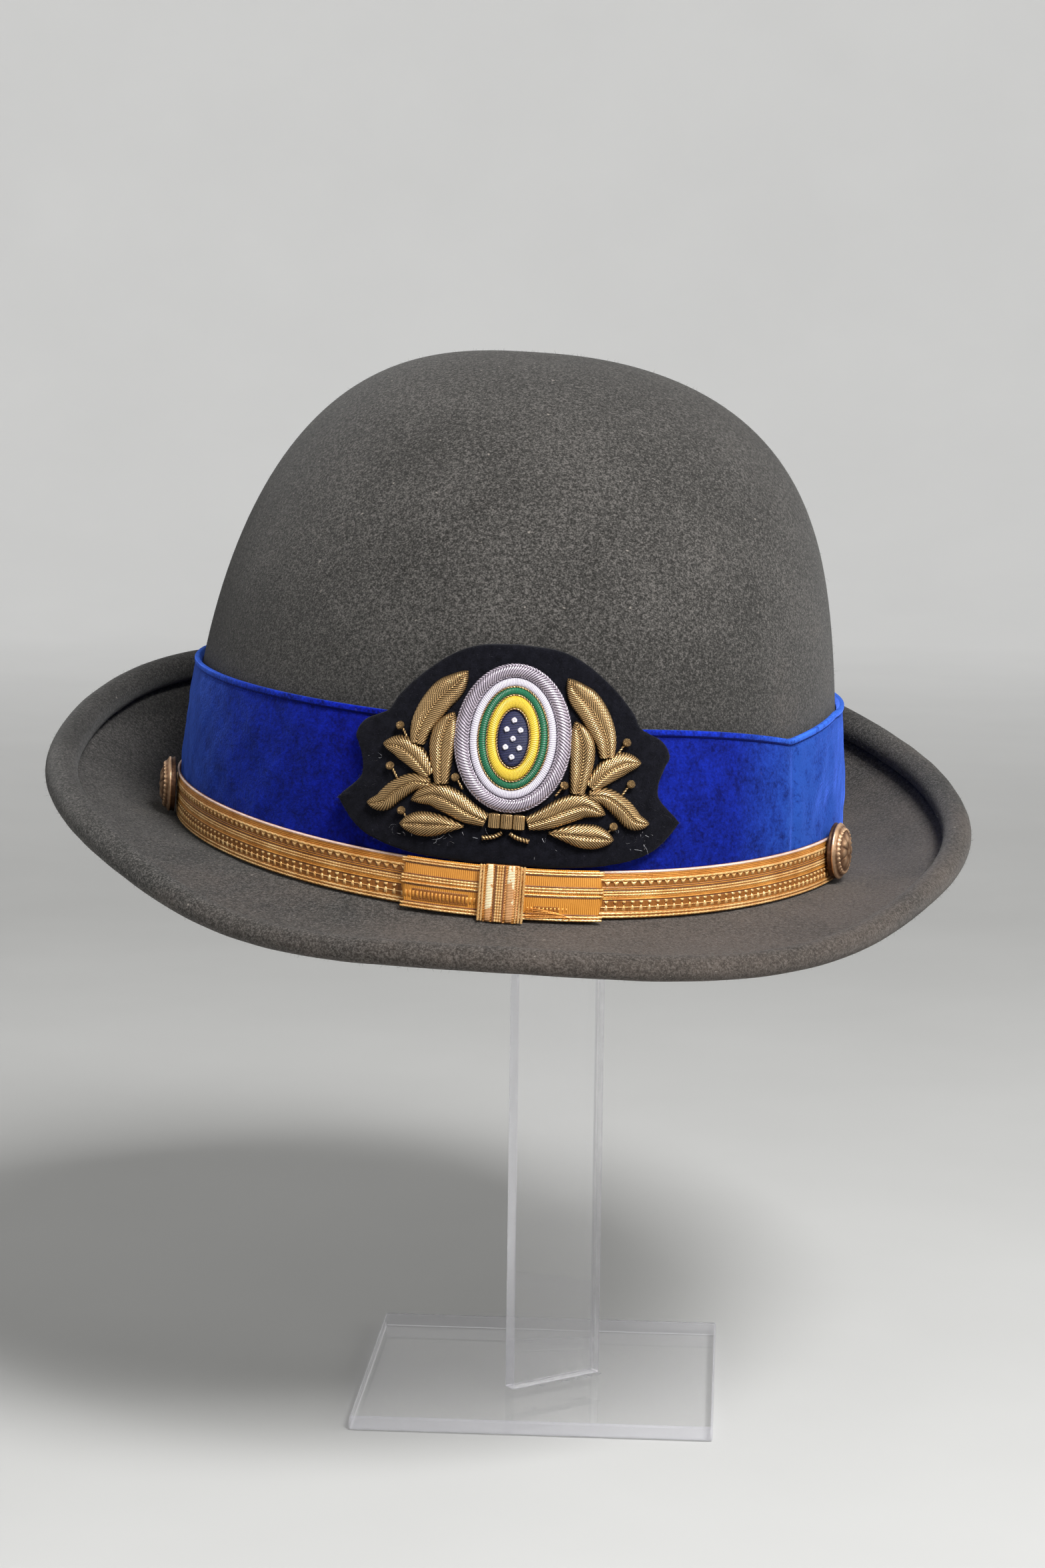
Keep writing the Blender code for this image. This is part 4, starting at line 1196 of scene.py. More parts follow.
    def build_knot(self) -> None:
        """Build the knot that holds the bow."""
        half = 0.5 * self.knot_width
        face = 0.7 * self.knot_wall
        top = self.knot_height
        parts = [("gold_weave", self.slab(-half, half, 0.0, top, face))]
        for across, radius, beads, paint in (
                (-5.15, 0.36, 0.0, "gold_cord"), (-4.45, 0.30, 0.0, "gold_cord"),
                (-1.15, 0.30, 0.75, "gold_cord"), (-0.55, 0.30, 0.75, "gold_cord"),
                (0.05, 0.30, 0.75, "gold_cord"), (0.55, 0.20, 0.0, "brown_line"),
                (-1.65, 0.20, 0.0, "brown_line"), (3.65, 0.22, 0.55, "gold_cord"),
                (4.40, 0.32, 0.0, "gold_cord"), (5.15, 0.36, 0.0, "gold_cord")):
            route = upright_run(across * MM, 0.1 * MM, top - 0.1 * MM, 0.00016)
            parts.append((paint, tube(route, face + 0.1 * MM, radius * MM, 7,
                                      0.0 if beads else 1.0 * MM, 2, 0.35, beads * MM)))
        parts += [("cream_worn", self.slab(first * MM, last * MM, 0.1 * MM, top - 0.1 * MM,
                                           face + 0.25 * MM, 0.0004, 0.0003))
                  for first, last in ((-3.9, -1.9), (1.0, 3.2))]
        self.laid(parts, top, self.knot_back, "knot_of_braid", "braid_knot")

    def build(self) -> None:
        """Build strap, bow and knot."""
        self.build_strap()
        self.build_bow()
        self.build_knot()


@dataclass
class Button:
    """A gilt button: a deep smooth shell with a domed face of rope and plain petals."""

    shape: HatShape
    side: str
    turn: float
    diameter: float = 0.0150
    depth: float = 0.0044
    rim: float = 0.0010
    height: float = 0.0086
    back: float = 0.0038
    rope: float = 0.00055
    petal: float = 0.00034
    heart: float = 0.00030

    def build(self, material: bpy.types.Material) -> None:
        """Build the button of a material."""
        shape = self.shape
        radius = 0.5 * self.diameter
        angle = np.linspace(0.0, ROUND, 193)[:, None]
        share = np.linspace(0.0, 1.0, 44)[None, :]
        dome = self.depth * (0.90 - 0.36 * share ** 2.4)
        rope = (np.exp(-((share - 0.90) / 0.07) ** 2)
                * (0.35 + 0.65 * np.abs(np.cos(14.0 * angle + 3.0 * share))))
        petals = np.exp(-((share - 0.48) / 0.22) ** 2) * np.abs(np.cos(4.0 * angle)) ** 0.6
        relief = (self.rope * rope + self.petal * petals
                  + self.heart * np.exp(-(share / 0.15) ** 2))
        face_out = dome + relief * np.clip((1.0 - share) / 0.04, 0.0, 1.0)
        bend = np.linspace(0.0, 0.5 * math.pi, 7)[None, :]
        shell = 0.44 * self.depth
        bevel = 0.55 * self.rim
        edge = radius - 0.0002
        foot = np.array([[edge, edge, radius, radius - 0.0003, 0.0]])
        parts = (stacked((radius - self.rim) * share, face_out,
                         0.25 + 1.4 * relief / relief.max()),
                 stacked(radius - bevel * (1.0 - np.sin(bend)),
                         shell - bevel * (1.0 - np.cos(bend)), 1.0),
                 stacked(foot, np.array([[0.6, 0.30, 0.12, 0.0, 0.0]]) * shell, 0.10))
        section = np.concatenate([np.broadcast_to(part, (len(angle), *part.shape[1:]))
                                  for part in parts], axis=1)
        radii, outs, high = np.moveaxis(section, -1, 0)
        local = stacked(radii * np.cos(angle), radii * np.sin(angle), outs)
        turn = shape.trim_turn + self.turn
        height = float(shape.junction(turn)) + self.height
        axes = Vector(shape.wall_normal(turn, height)).to_track_quat("Z", "Y").to_matrix()
        points = shape.world(local @ np.array(axes).T + shape.wall(turn, height, self.back))
        piece = sheet(f"gilt_button_{self.side}",
                      beside(points, stacked(radius * angle, high)), material)
        settle(piece, "gilt", f"button_{self.side}")


@dataclass(frozen=True)
class RingRow:
    """One ring of the oval: half axes as shares of the oval's own, and its look."""

    name: str
    outer: Pair
    inner: Pair
    relief: float
    finish: ThreadFinish
    slot: str


@dataclass(frozen=True)
class LeafRow:
    """One leaf of the wreath: its width and its midrib's route, in units of the grid."""

    width: float
    route: tuple[Pair, ...]


@dataclass
class Badge:
    """The wool badge with its padded oval and its wreath of bullion.

    The outline is the right half of the wool, in shares of half the width and of the height.
    Leaves, berries and tail are drawn on a grid with the oval's centre in its middle.
    """

    shape: HatShape
    width: float = 0.0870
    height: float = 0.0542
    backing_back: float = 0.0028
    backing_wall: float = 0.0024
    backing_edge: float = 0.0007
    oval: Pair = (0.0284, 0.0362)
    relief: float = 0.0016
    berry: float = 0.0020
    tie: tuple[float, float, float] = (0.0088, 0.0040, 0.0024)
    tail_thickness: float = 0.0012
    gap: float = 0.0003
    stitch_back: float = 0.0055
    level: float = 0.0403986
    wrap: float = 0.00078
    nap: float = 0.00007
    wire_ridge: float = 0.00022
    thread_ridge: float = 0.00004
    wrap_ridge: float = 0.00026
    twist_rise: float = 0.0007
    twist_pitch: float = 0.0011
    knot_size: float = 0.00036
    knot_thread: float = 0.00038
    fibres: int = 2600
    fibre_thickness: float = 0.00004
    lint_thickness: float = 0.000055
    outline: tuple[Pair, ...] = (
        (0.000, 0.417), (0.230, 0.402), (0.402, 0.347), (0.575, 0.240), (0.694, 0.138),
        (0.747, 0.068), (0.885, 0.011), (0.931, -0.055), (0.901, -0.111), (0.864, -0.192),
        (0.883, -0.258), (0.998, -0.349), (0.995, -0.373), (0.908, -0.454), (0.786, -0.517),
        (0.593, -0.559), (0.368, -0.577), (0.000, -0.583))
    rings: tuple[RingRow, ...] = (
        RingRow("border", (1.000, 1.000), (0.755, 0.826), 1.00, SILVER, "silver"),
        RingRow("white", (0.755, 0.826), (0.600, 0.695), 0.60, WHITE_SATIN, "satin"),
        RingRow("green", (0.600, 0.695), (0.455, 0.585), 0.60, GREEN_SATIN, "green_thread"),
        RingRow("yellow", (0.455, 0.585), (0.280, 0.400), 0.75, YELLOW_SATIN, "yellow_thread"),
        RingRow("centre", (0.280, 0.400), (0.000, 0.000), 0.45, NAVY_SATIN, "navy_thread"))
    leaves: tuple[LeafRow, ...] = (
        LeafRow(0.168, ((0.536, -0.078), (0.524, 0.018), (0.486, 0.105), (0.424, 0.200),
                        (0.350, 0.272), (0.286, 0.353))),
        LeafRow(0.152, ((0.376, -0.290), (0.390, -0.170), (0.395, -0.060), (0.380, 0.020),
                        (0.343, 0.118))),
        LeafRow(0.142, ((0.446, -0.250), (0.500, -0.195), (0.562, -0.144), (0.642, -0.107),
                        (0.742, -0.102))),
        LeafRow(0.126, ((0.440, -0.294), (0.540, -0.300), (0.636, -0.362), (0.713, -0.434),
                        (0.806, -0.449))),
        LeafRow(0.156, ((0.113, -0.475), (0.216, -0.439), (0.320, -0.386), (0.424, -0.358),
                        (0.545, -0.402))),
        LeafRow(0.146, ((0.232, -0.520), (0.337, -0.522), (0.430, -0.530), (0.511, -0.534),
                        (0.600, -0.544))))
    berries: tuple[Pair, ...] = ((0.645, 0.012), (0.680, -0.222), (0.300, -0.244),
                                 (0.590, -0.466))
    tail: tuple[Pair, ...] = ((0.020, 0.000), (0.065, -0.025), (0.130, -0.040))
    knots: tuple[Pair, ...] = ((0.0, 0.62), (-0.42, 0.30), (0.42, 0.30), (0.0, 0.0),
                               (-0.42, -0.30), (0.42, -0.30), (0.0, -0.62))
    grid_oval: Pair = (0.326, 0.416)
    grid_up: float = 1.246

    def __post_init__(self) -> None:
        """Measure the crown's wall behind the badge and mix the wires."""
        self.turns = np.linspace(-90.0, 90.0, 721)
        lengths = run_lengths(
            self.shape.wall(self.turns, 0.5 * self.shape.band_top, self.backing_back))
        self.lengths = lengths - np.interp(self.shape.trim_turn, self.turns, lengths)
        self.front = self.backing_back + self.backing_wall
        self.half_oval = 0.5 * np.array(self.oval)
        self.bullion = BULLION.material()
        self.silver = SILVER.material()

    def place(self, table: np.ndarray) -> np.ndarray:
        """Return a flat table, drawn across, up and out, bent onto the hat."""
        laid = table.copy()
        turn = np.interp(table[..., 0], self.lengths, self.turns)
        laid[..., :3] = self.shape.world(
            self.shape.wall(turn, self.level + table[..., 1], table[..., 2]))
        return laid

    def laid(self, name: str, table: np.ndarray, material: bpy.types.Material
             ) -> bpy.types.Object:
        """Return a piece made of a flat table that is bent onto the hat."""
        return sheet(name, self.place(table), material)

    def wreath(self, points: np.ndarray) -> np.ndarray:
        """Turn places on the wreath's grid into lengths from the oval's centre.

        Args:
            points: The places. The grid keeps clear of the oval whatever its size.

        Returns:
            The flat places.
        """
        units = np.array((0.5 * (self.width - self.oval[0]) / (1.0 - self.grid_oval[0]),
                          self.height / self.grid_up))
        size = np.abs(points)
        near = np.minimum(size, self.grid_oval)
        return np.sign(points) * (near / self.grid_oval * self.half_oval
                                  + (size - near) * units)

    def cut_edge(self, steps: int) -> np.ndarray:
        """Return the wool's closed outline, with steps between its points."""
        half = np.array(self.outline) * (0.5 * self.width, self.height)
        return spline(np.concatenate([half, half[-2:0:-1] * (-1.0, 1.0), half[:1]]), steps)

    def build_backing(self) -> None:
        """Build the wool backing."""
        edge = self.cut_edge(8)
        inset, back = self.backing_edge, self.backing_back
        section = [(share, inset, self.front) for share in np.linspace(0.0, 1.0, 30)]
        section += [(1.0, 0.25 * inset, self.front - 0.25 * inset), (1.0, 0.0, self.front - inset),
                    (1.0, 0.0, back), (0.0, 0.0, back)]
        shares, inward, depths = np.array(section).T
        left = asides(edge)
        left[0] = left[-1] = (0.0, 1.0)
        flat = (edge[:, None, :] - left[:, None, :] * inward[:, None]) * shares[:, None]
        table = stacked(flat[..., 0], flat[..., 1], depths)
        rough = smooth_noise(table, 0.006, 21) + 0.7 * smooth_noise(table, 0.0022, 22)
        table[..., 2] += self.nap * rough * (table[..., 2] > back + 0.0001)
        table[-1] = table[0]
        piece = self.laid("badge_wool", table, WoolFinish().material())
        settle(piece, "wool", "badge_backing")

    def ring_cord(self, across: float, up: float, radius: float, out: float, pitch: float,
                  material: bpy.types.Material) -> bpy.types.Object:
        """Build a twisted cord round the oval.

        Args:
            across: Its half width as a share of the oval's.
            up: Its half height as a share of the oval's.
            radius: The cord's radius.
            out: Depth of its middle.
            pitch: Length between its strands.
            material: Its material.

        Returns:
            The cord.
        """
        angle = np.linspace(0.0, ROUND, 561)
        route = stacked(across * np.sin(angle), up * np.cos(angle)) * self.half_oval
        table = tube(route, out, radius, 7, pitch, 2, 0.38)
        table[0] = table[-1] = 0.5 * (table[1] + table[-2])
        return self.laid("twist", table, material)

    def build_ring(self, row: RingRow) -> None:
        """Build one padded ring of the oval, or its middle."""
        border, hollow = row.name == "border", row.inner[0] > 0.0
        outer, inner = self.half_oval * row.outer, self.half_oval * row.inner
        relief = self.relief * row.relief
        angle = np.linspace(0.0, ROUND, 861 if border else 421)[:, None]
        across = np.linspace(0.0, 1.0, 11 if hollow else 16)[None, :]
        length = angle * float(outer.mean())
        phase = length / SILVER.pitch + 3.2 * across
        dome = np.maximum(1.0 - (1.0 - across) ** 3.0, 0.0) ** 0.5
        if hollow:
            dome = np.maximum(1.0 - np.abs(2.0 * across - 1.0) ** 2.4, 0.0) ** 0.55
        ridge = self.thread_ridge * hollow * np.abs(np.sin(math.pi * length / row.finish.pitch))
        if border:
            ridge = self.wire_ridge * np.abs(np.sin(math.pi * phase)) ** 0.6
        axes = inner + (outer - inner) * (1.0 - across)[..., None]
        x, y = axes[..., 0] * np.sin(angle), axes[..., 1] * np.cos(angle)
        pattern = (x, y)
        if hollow:
            pattern = (phase * SILVER.pitch if border else length,
                       across * float((outer - inner).mean()))
        table = stacked(x, y, self.stitch_back + relief * dome + ridge * np.sign(dome), *pattern)
        rim, ending = table[:, :1].copy(), table[:, -1:].copy()
        rim[..., 2] = ending[..., 2] = self.stitch_back
        rows = [rim, table, ending, rim]
        if not hollow:
            middle = rim.copy()
            middle[..., :2] = 0.0
            rows = [middle, rim, table]
        table = np.concatenate(rows, axis=1)
        table[-1, :, :3] = table[0, :, :3]
        paint = self.silver if border else row.finish.material()
        parts = [self.laid("ring", table, paint)]
        if border:
            top = self.stitch_back + self.twist_rise
            parts += [self.ring_cord(*size, top, self.twist_pitch, self.silver)
                      for size in ((0.985, 0.988, 0.00042), (0.775, 0.842, 0.00040))]
        elif hollow:
            parts.append(self.ring_cord(*row.inner, 0.00026, self.stitch_back + relief * 0.6,
                                        0.0007, self.bullion))
        settle(joined(f"badge_oval_{row.name}", parts), row.slot, f"oval_{row.name}")

    def build_leaf(self, number: int, leaf: LeafRow, side: int, label: str) -> None:
        """Build one padded leaf, wrapped in bullion that meets at its midrib.

        Args:
            number: Its number on its side.
            leaf: Its width and route.
            side: -1 for the left of the wreath, 1 for the right.
            label: Name of the side.
        """
        route = spline(np.array(leaf.route) * (side, 1.0), 60)
        share = np.linspace(0.0, 1.0, len(route))
        stalk = 0.10 if number == len(self.leaves) else 0.52
        swell = stalk + (1.0 - stalk) * np.sin(0.5 * math.pi * np.minimum(share / 0.55, 1.0))
        point = np.maximum(1.0 - np.maximum((share - 0.62) / 0.38, 0.0) ** 2.0, 0.0) ** 0.8
        width = leaf.width * swell * point
        width[0] *= 0.3
        over = np.linspace(-1.0, 1.0, 21)[None, :]
        flat = self.wreath(route[:, None, :] + asides(route)[:, None, :]
                           * (0.5 * width[:, None] * over)[..., None])
        middle = flat[:, 10]
        length = run_lengths(middle)[:, None]
        half = 0.5 * np.linalg.norm(flat[:, 0] - flat[:, -1], axis=-1)[:, None]
        broad = half / half.max()
        dome = np.maximum(1.0 - np.abs(over) ** 2.6, 0.0) ** 0.5
        rise = self.relief * np.minimum(1.0, 0.3 + 1.4 * broad) * np.sign(broad)
        groove = 1.0 - 0.34 * np.exp(-(over / 0.13) ** 2)
        phase = (length - np.abs(over) * half * 1.3) / self.wrap
        wraps = self.wrap_ridge * np.abs(np.sin(math.pi * phase)) ** 0.6 * dome ** 0.5
        out = self.stitch_back + (rise * dome * groove + wraps * np.minimum(1.0, 3.0 * broad))
        table = beside(flat, stacked(out, phase * self.wrap, over * half))
        table = np.concatenate([table, table[:, :1]], axis=1)
        table[:, -1, 2] = self.stitch_back
        rib = slice(14, len(route) - 12, 2)
        cord = tube(middle[rib], out[rib, 10:11] + 0.00006, 0.00026, 7, 0.0010, 2, 0.4)
        parts = [self.laid("leaf", table, self.bullion), self.laid("midrib", cord, self.bullion)]
        settle(joined(f"bullion_leaf_{label}_{number}", parts), "bullion",
               f"leaf_{label}_{number}")

    def build_berry(self, number: int, berry: Pair, side: int, label: str) -> None:
        """Build one wrapped berry with a short stem.

        Args:
            number: Its number on its side.
            berry: Its place on the grid.
            side: -1 for the left of the wreath, 1 for the right.
            label: Name of the side.
        """
        centre = self.wreath(np.array(berry)) * (side, 1.0)
        turn = np.linspace(0.0, ROUND, 25)[:, None]
        lean = np.linspace(0.0, math.pi, 15)[None, :]
        radius = 0.5 * self.berry * (1.0 + 0.06 * np.cos(12.0 * lean + 2.0 * turn))
        ball = stacked(centre[0] + radius * np.sin(lean) * np.cos(turn),
                       centre[1] + radius * np.sin(lean) * np.sin(turn),
                       self.stitch_back + 0.5 * self.berry + radius * np.cos(lean))
        route = spline(centre + np.array([(-0.0004, -0.0006), (-0.0020, -0.0030)]) * (side, 1.0),
                       14)
        stem = tube(route, self.stitch_back + 0.0003, 0.00032, 7, 0.0006, 2, 0.35)
        parts = [self.laid("berry", ball, self.bullion), self.laid("stem", stem, self.bullion)]
        settle(joined(f"bullion_berry_{label}_{number}", parts), "bullion",
               f"berry_{label}_{number}")

    def build_tie(self) -> None:
        """Build the tie of three wraps under the oval, and its tails."""
        wide, tall, relief = self.tie
        foot = -self.half_oval[1] - self.gap - tall
        strands = replace(BULLION, name="gold_strands", lay=Lay.ALONG, pitch=0.00050).material()
        parts = []
        for k in range(3):
            route = upright_run(wide * ((k + 0.5) / 3.0 - 0.5), foot + 0.0001,
                                foot + tall - 0.0001, 0.00012)
            table = tube(route, self.stitch_back + 0.40 * relief, wide / 6.1, 49, 1.0, 14,
                         0.14, squeeze=0.75)
            for end, near in ((0, 1), (-1, -2)):
                table[near, :, :3] = 0.35 * table[end, :, :3] + 0.65 * table[near, :, :3]
            parts.append(self.laid(f"wrap_{k}", table, strands))
        settle(joined("bullion_tie", parts), "bullion", "wreath_tie")
        thick = self.tail_thickness
        unit = self.height / self.grid_up
        for side, label in SIDES:
            route = spline(np.array(self.tail) * (side * unit, unit)
                           + (0.0, foot - self.gap - 0.5 * thick), 40)
            table = tube(route, self.stitch_back + 0.4 * thick, 0.5 * thick, 11, 0.0007, 2, 0.3)
            settle(self.laid(f"bullion_tail_{label}", table, self.bullion), "bullion",
                   f"tie_tail_{label}")

    def build_knots(self) -> None:
        """Build the small stitched knots on the oval's middle, in an even plain layout."""
        thread = ThreadFinish("knot_silver", (0.50, 0.47, 0.54), (0.90, 0.87, 0.94), 0.35,
                              0.3).material()
        angle = np.linspace(0.0, ROUND, 33)
        rest = self.stitch_back + 0.45 * self.relief + 0.00022
        parts = []
        for k, place in enumerate(self.knots):
            ring = (self.half_oval * self.rings[-1].outer * place
                    + self.knot_size * stacked(np.cos(angle), np.sin(angle)))
            table = tube(ring, rest, self.knot_thread, 9, 0.00055, 2, 0.4)
            table[0] = table[-1] = 0.5 * (table[1] + table[-2])
            parts.append(self.laid(f"knot_{k}", table, thread))
        settle(joined("centre_knots", parts), "silver")

    def build_fuzz(self) -> None:
        """Build the short fibres on the wool and, every other one, along its cut edge."""
        draw = np.random.default_rng(31)
        count = self.fibres
        edge = self.cut_edge(30)
        cut = np.arange(count) % 2 > 0
        rim = edge[draw.integers(0, len(edge), count)]
        share = np.where(cut, 0.992, draw.uniform(0.0, 1.0, count) ** 0.5)
        flat = rim * share[:, None] + draw.normal(scale=0.0001, size=(count, 2))
        depth = np.where(cut, draw.uniform(self.backing_back, self.front, count), self.front)
        roots = beside(flat, depth[:, None])
        away = beside(rim * 20.0, np.full((count, 1), 0.5))
        tips = roots + 0.001 * (away * cut[:, None] * 0.8
                                + draw.normal(scale=0.7, size=roots.shape) + (0.0, 0.0, 0.4))
        points = self.place(roots)
        fibre = ThreadFinish("wool_fibre", (0.010, 0.010, 0.016), (0.045, 0.045, 0.060), 0.8)
        axes = hair_axes(self.place(tips) - points, draw.uniform(0.0004, 0.0011, count),
                         self.fibre_thickness, 32)
        settle(scattered("badge_fuzz", hair(fibre.material(), 1.5, 3), axes, points), "wool")

    def build_lint(self) -> None:
        """Build the pale lint that clings to the wool under the wreath."""
        draw = np.random.default_rng(19)
        spots = ((-0.46, -0.60, 0.18, 26), (0.74, -0.545, 0.09, 14), (0.02, -0.585, 0.16, 6),
                 (-0.80, -0.18, 0.05, 5), (0.60, -0.62, 0.18, 12))
        flat = np.concatenate([stacked(draw.normal(x, spread, count),
                                       draw.normal(y, 0.030, count))
                               for x, y, spread, count in spots])
        inside = (np.abs(flat[:, 0]) < 0.84) & (flat[:, 1] > 0.12 * np.abs(flat[:, 0]) - 0.70)
        flat = self.wreath(flat[inside])
        points = self.place(stacked(flat[:, 0], flat[:, 1], self.front + 0.0001))
        ways = draw.normal(size=points.shape) * (1.0, 0.25, 0.9) + (0.0, -0.25, -0.35)
        lengths = draw.uniform(0.0014, 0.0042, len(points))
        fibre = ThreadFinish("pale_lint", (0.44, 0.44, 0.47), (0.66, 0.66, 0.69), 0.7)
        axes = hair_axes(ways, lengths, self.lint_thickness, 20)
        settle(scattered("badge_lint", hair(fibre.material(), 2.6, 8), axes, points), "wool")

    def build(self) -> None:
        """Build the whole badge."""
        self.build_backing()
        self.build_knots()
        self.build_fuzz()
        self.build_lint()
        for row in self.rings:
            self.build_ring(row)
        for side, label in SIDES:
            for number, leaf in enumerate(self.leaves, 1):
                self.build_leaf(number, leaf, side, label)
            for number, berry in enumerate(self.berries, 1):
                self.build_berry(number, berry, side, label)
        self.build_tie()


@dataclass
class Stand:
    """The clear stand of three flat pieces, with drops of glue at the upright's foot."""

    bevel: float = 0.00035
    strip_place: Pair = (0.0040, -0.0122)
    strip_turn: float = 38.8
    strip_width: float = 0.030
    strip_wall: float = 0.004
    plate_wall: float = 0.004
    drops: int = 22
    drop_height: float = 0.00025

    def build_plate(self, node: str, name: str, paints: Sequence[bpy.types.Material]) -> None:
        """Build one piece from its solid, with broken edges and sawn sides.

        Args:
            node: The solid that it stands for.
            name: Its own name.
            paints: Materials of its faces and of its sides.
        """
        piece = bpy.data.objects.new(name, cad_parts[node].data.copy())
        bpy.context.scene.collection.objects.link(piece)
        piece.data.name = name
        select(piece)
        bpy.ops.object.mode_set(mode="EDIT")
        bpy.ops.mesh.select_all(action="SELECT")
        bpy.ops.mesh.remove_doubles(threshold=0.00001)
        bpy.ops.mesh.dissolve_limited(angle_limit=math.radians(2.0))
        bpy.ops.mesh.normals_make_consistent(inside=False)
        bpy.ops.object.mode_set(mode="OBJECT")
        edges = piece.modifiers.new("edges", "BEVEL")
        edges.width = self.bevel
        edges.segments = 2
        edges.limit_method = "ANGLE"
        bpy.ops.object.modifier_apply(modifier="edges")
        piece.data.materials.clear()
        for paint in paints:
            piece.data.materials.append(paint)
        small = 0.2 * max(face.area for face in piece.data.polygons)
        for face in piece.data.polygons:
            face.material_index = 0 if face.area > small else 1
            face.use_smooth = False
        settle(piece, "acrylic", node)

    def build_glue(self, paint: bpy.types.Material) -> None:
        """Build the drops of glue along the upright's foot, of one material."""
        draw = np.random.default_rng(41)
        turn = math.radians(self.strip_turn)
        along = np.array((math.cos(turn), math.sin(turn)))
        aside = np.array((-math.sin(turn), math.cos(turn)))
        angle = np.linspace(0.0, ROUND, 17)[:, None]
        rise = np.linspace(0.0, 0.5 * math.pi, 7)[None, :]
        parts = []
        for k in range(self.drops):
            side = -1.0 if k % 2 else 1.0
            place = (np.array(self.strip_place)
                     + along * self.strip_width * draw.uniform(-0.5, 0.5)
                     + aside * side * (0.5 * self.strip_wall + draw.uniform(0.0001, 0.0006)))
            size = draw.uniform(0.0004, 0.0010)
            rim = size * np.cos(rise) * (1.0 + 0.15 * np.cos(3.0 * angle + k))
            table = stacked(place[0] + rim * np.cos(angle), place[1] + rim * np.sin(angle),
                            self.plate_wall + self.drop_height * np.sin(rise))
            base = table[:, :1].copy()
            base[..., :2] = place
            parts.append(sheet(f"drop_{k}", np.concatenate([base, table], axis=1), paint))
        settle(joined("glue_drops", parts), "acrylic")

    def build(self) -> None:
        """Build the stand."""
        clear = AcrylicFinish().material()
        sawn = AcrylicFinish("acrylic_edge", (0.80, 0.79, 0.86), 0.78, 0.16, 0.75).material()
        glue = AcrylicFinish("glue", (0.93, 0.93, 0.95), 0.7, 0.12, 0.8).material()
        for node, name in (("stand_base", "base_plate"), ("stand_upright", "upright_strip"),
                           ("stand_head", "head_plate")):
            self.build_plate(node, name, (clear, sawn))
        self.build_glue(glue)


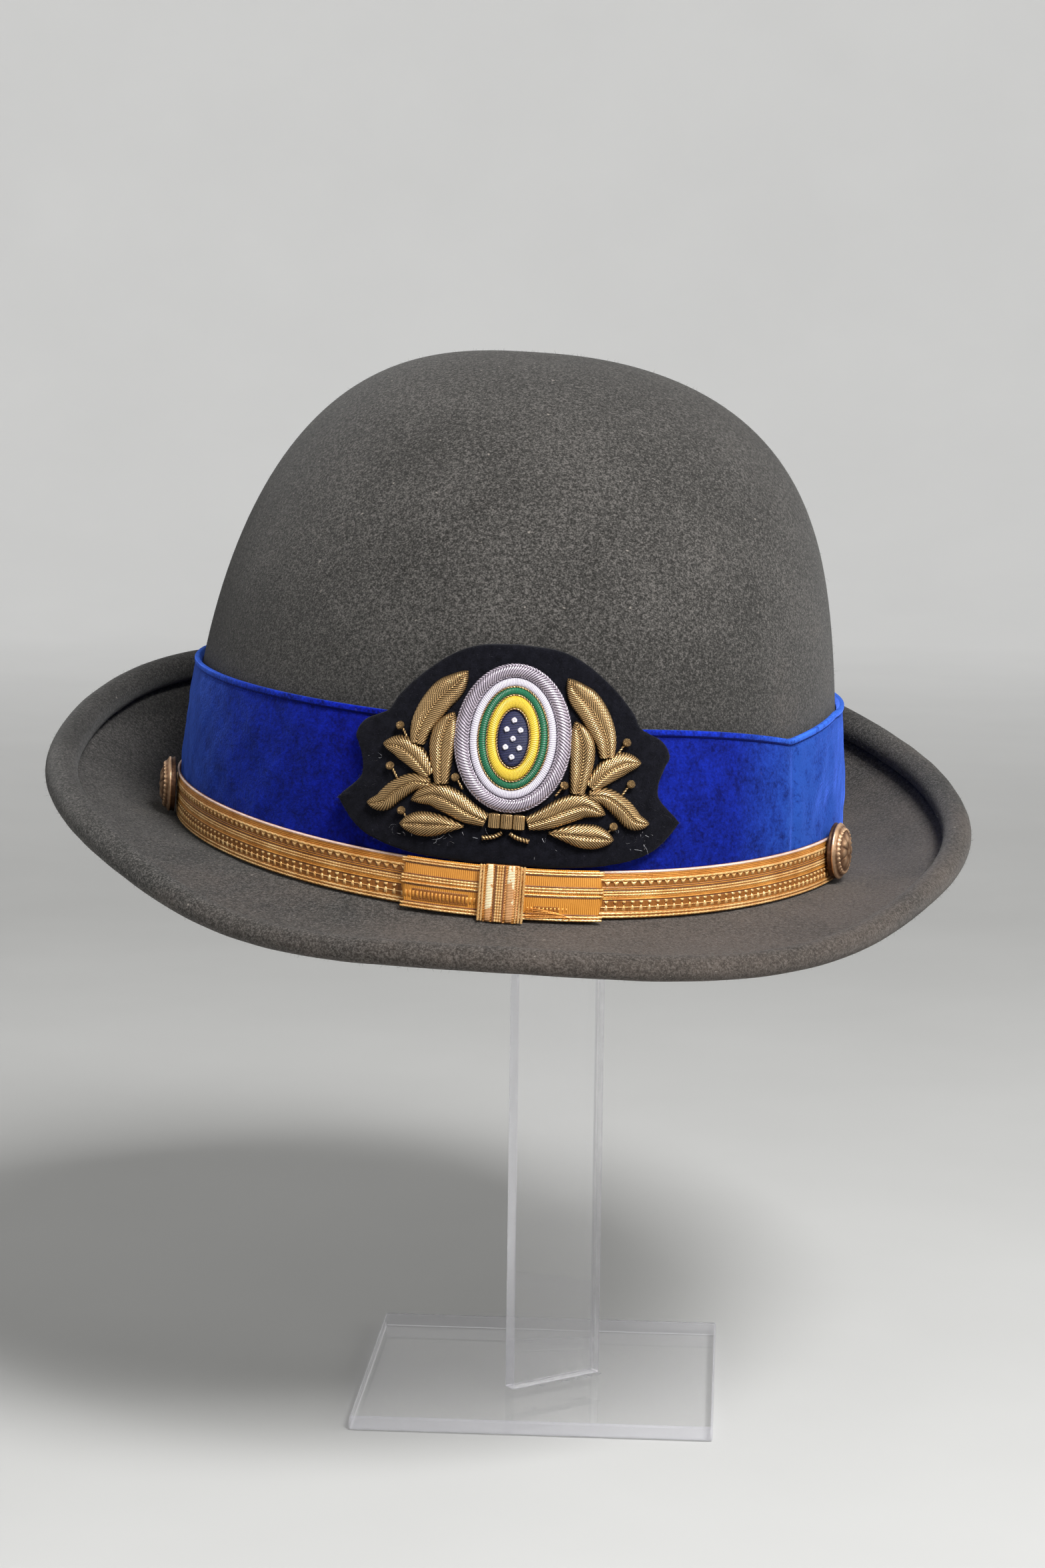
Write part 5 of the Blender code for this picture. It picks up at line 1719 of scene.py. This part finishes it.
@dataclass
class Studio:
    """Floor, light and camera.

    The floor has a flat radius, the radius of its bend and the height of its wall. Each lamp
    has a name, a place, a size and a power. Focal length and image height are in pixels.
    """

    focal: float = 5200.0
    image_height: float = 2352.0
    film: float = 36.0
    pitch: float = 7.82
    roll: float = 0.72
    azimuth: float = -3.55
    eye: tuple[float, float, float] = (0.0525, -0.9653, 0.3062)
    floor: tuple[float, float, float] = (2.1, 0.8, 3.4)
    lamps: tuple[tuple[str, tuple[float, float, float], float, float], ...] = (
        ("key", (0.50, -0.85, 1.15), 0.45, 26.5), ("fill", (-0.85, -0.90, 0.55), 0.9, 0.5),
        ("left", (-1.05, 0.10, 0.45), 0.5, 0.5), ("right", (1.05, -0.15, 0.55), 0.5, 2.0))
    aim: tuple[float, float, float] = (0.0, 0.0, 0.2)
    sky: float = 0.22

    def build_floor(self) -> None:
        """Build a pale floor that sweeps up into a wall on every side and glows with painted
        light.
        """
        bend = np.linspace(0.0, 0.5 * math.pi, 13)
        flat, radius, top = self.floor
        reach = np.array([0.0, 0.3, 0.8, 1.4, *(flat + radius * np.sin(bend)), flat + radius])
        rise = np.array([0.0] * 4 + [*(radius * (1.0 - np.cos(bend))), top]) - 0.0002
        angle = np.linspace(0.0, ROUND, 97)[:, None]
        table = stacked(reach * np.cos(angle), reach * np.sin(angle), rise)
        paint = Paint("glowing_pale_paper", Roughness=0.9, Specular_IOR_Level=0.1, Emission_Strength=1.0)
        paint.feed("Base Color", paint.ramp(paint.noise(6.0, 3.0), (0.3, (0.53, 0.53, 0.52)),
                                            (0.7, (0.56, 0.56, 0.55))))
        away = paint.node("ShaderNodeVectorMath", {"operation": "LENGTH"}, {0: paint.place()},
                          "Value")
        # Painted light: the sweep glows, from nothing near the middle to its brightest on the far
        # wall, and lights the hat from every side.
        paint.feed("Emission Color", paint.ramp(away * 0.25, (0.20, 0.0), (0.55, 0.27)))
        piece = sheet("paper_sweep", table, paint.material)
        piece.data.flip_normals()

    def build_lights(self) -> None:
        """Hang the lamps and set the plain sky."""
        for name, place, size, power in self.lamps:
            lamp = bpy.data.lights.new(name, "AREA")
            lamp.size = size
            lamp.energy = power
            thing = bpy.data.objects.new(name, lamp)
            bpy.context.scene.collection.objects.link(thing)
            thing.location = place
            aim = Vector(self.aim) - Vector(place)
            thing.rotation_euler = aim.to_track_quat("-Z", "Y").to_euler()
        world = bpy.data.worlds.new("sky")
        world.use_nodes = True
        background = world.node_tree.nodes["Background"]
        background.inputs["Color"].default_value = (1.0, 1.0, 1.0, 1.0)
        background.inputs["Strength"].default_value = self.sky
        bpy.context.scene.world = world
        bpy.context.scene.view_settings.view_transform = "Standard"

    def build_camera(self) -> None:
        """Set the camera where the photograph was taken."""
        turn, drop, roll = (math.radians(x) for x in (self.azimuth, self.pitch, self.roll))
        ahead = Vector((math.sin(turn) * math.cos(drop), math.cos(turn) * math.cos(drop),
                        -math.sin(drop)))
        right = Vector((math.cos(turn), -math.sin(turn), 0.0))
        right = math.cos(roll) * right + math.sin(roll) * right.cross(ahead)
        data = bpy.data.cameras.new("camera")
        data.sensor_fit = "VERTICAL"
        data.sensor_height = data.sensor_width = self.film
        data.lens = self.focal / self.image_height * self.film
        data.clip_start, data.clip_end = 0.01, 20.0
        camera = bpy.data.objects.new("camera", data)
        bpy.context.scene.collection.objects.link(camera)
        matrix = Matrix((right, right.cross(ahead), -ahead)).transposed().to_4x4()
        matrix.translation = self.eye
        camera.matrix_world = matrix
        bpy.context.scene.camera = camera

    def build(self) -> None:
        """Build the studio."""
        self.build_floor()
        self.build_lights()
        self.build_camera()


def main() -> None:
    """Build the studio, the hat, its trimmings and the stand."""
    logging.basicConfig(level=logging.INFO)
    shape = HatShape()
    Studio().build()
    felt = FeltBody(shape)
    felt.build()
    felt.build_fuzz()
    VelvetBand(shape).build()
    BraidTrim(shape).build()
    gilt = GiltFinish().material()
    Button(shape, "left", -80.0).build(gilt)
    Button(shape, "right", 68.0).build(gilt)
    Badge(shape).build()
    Stand().build()


if __name__ == "__main__":
    main()
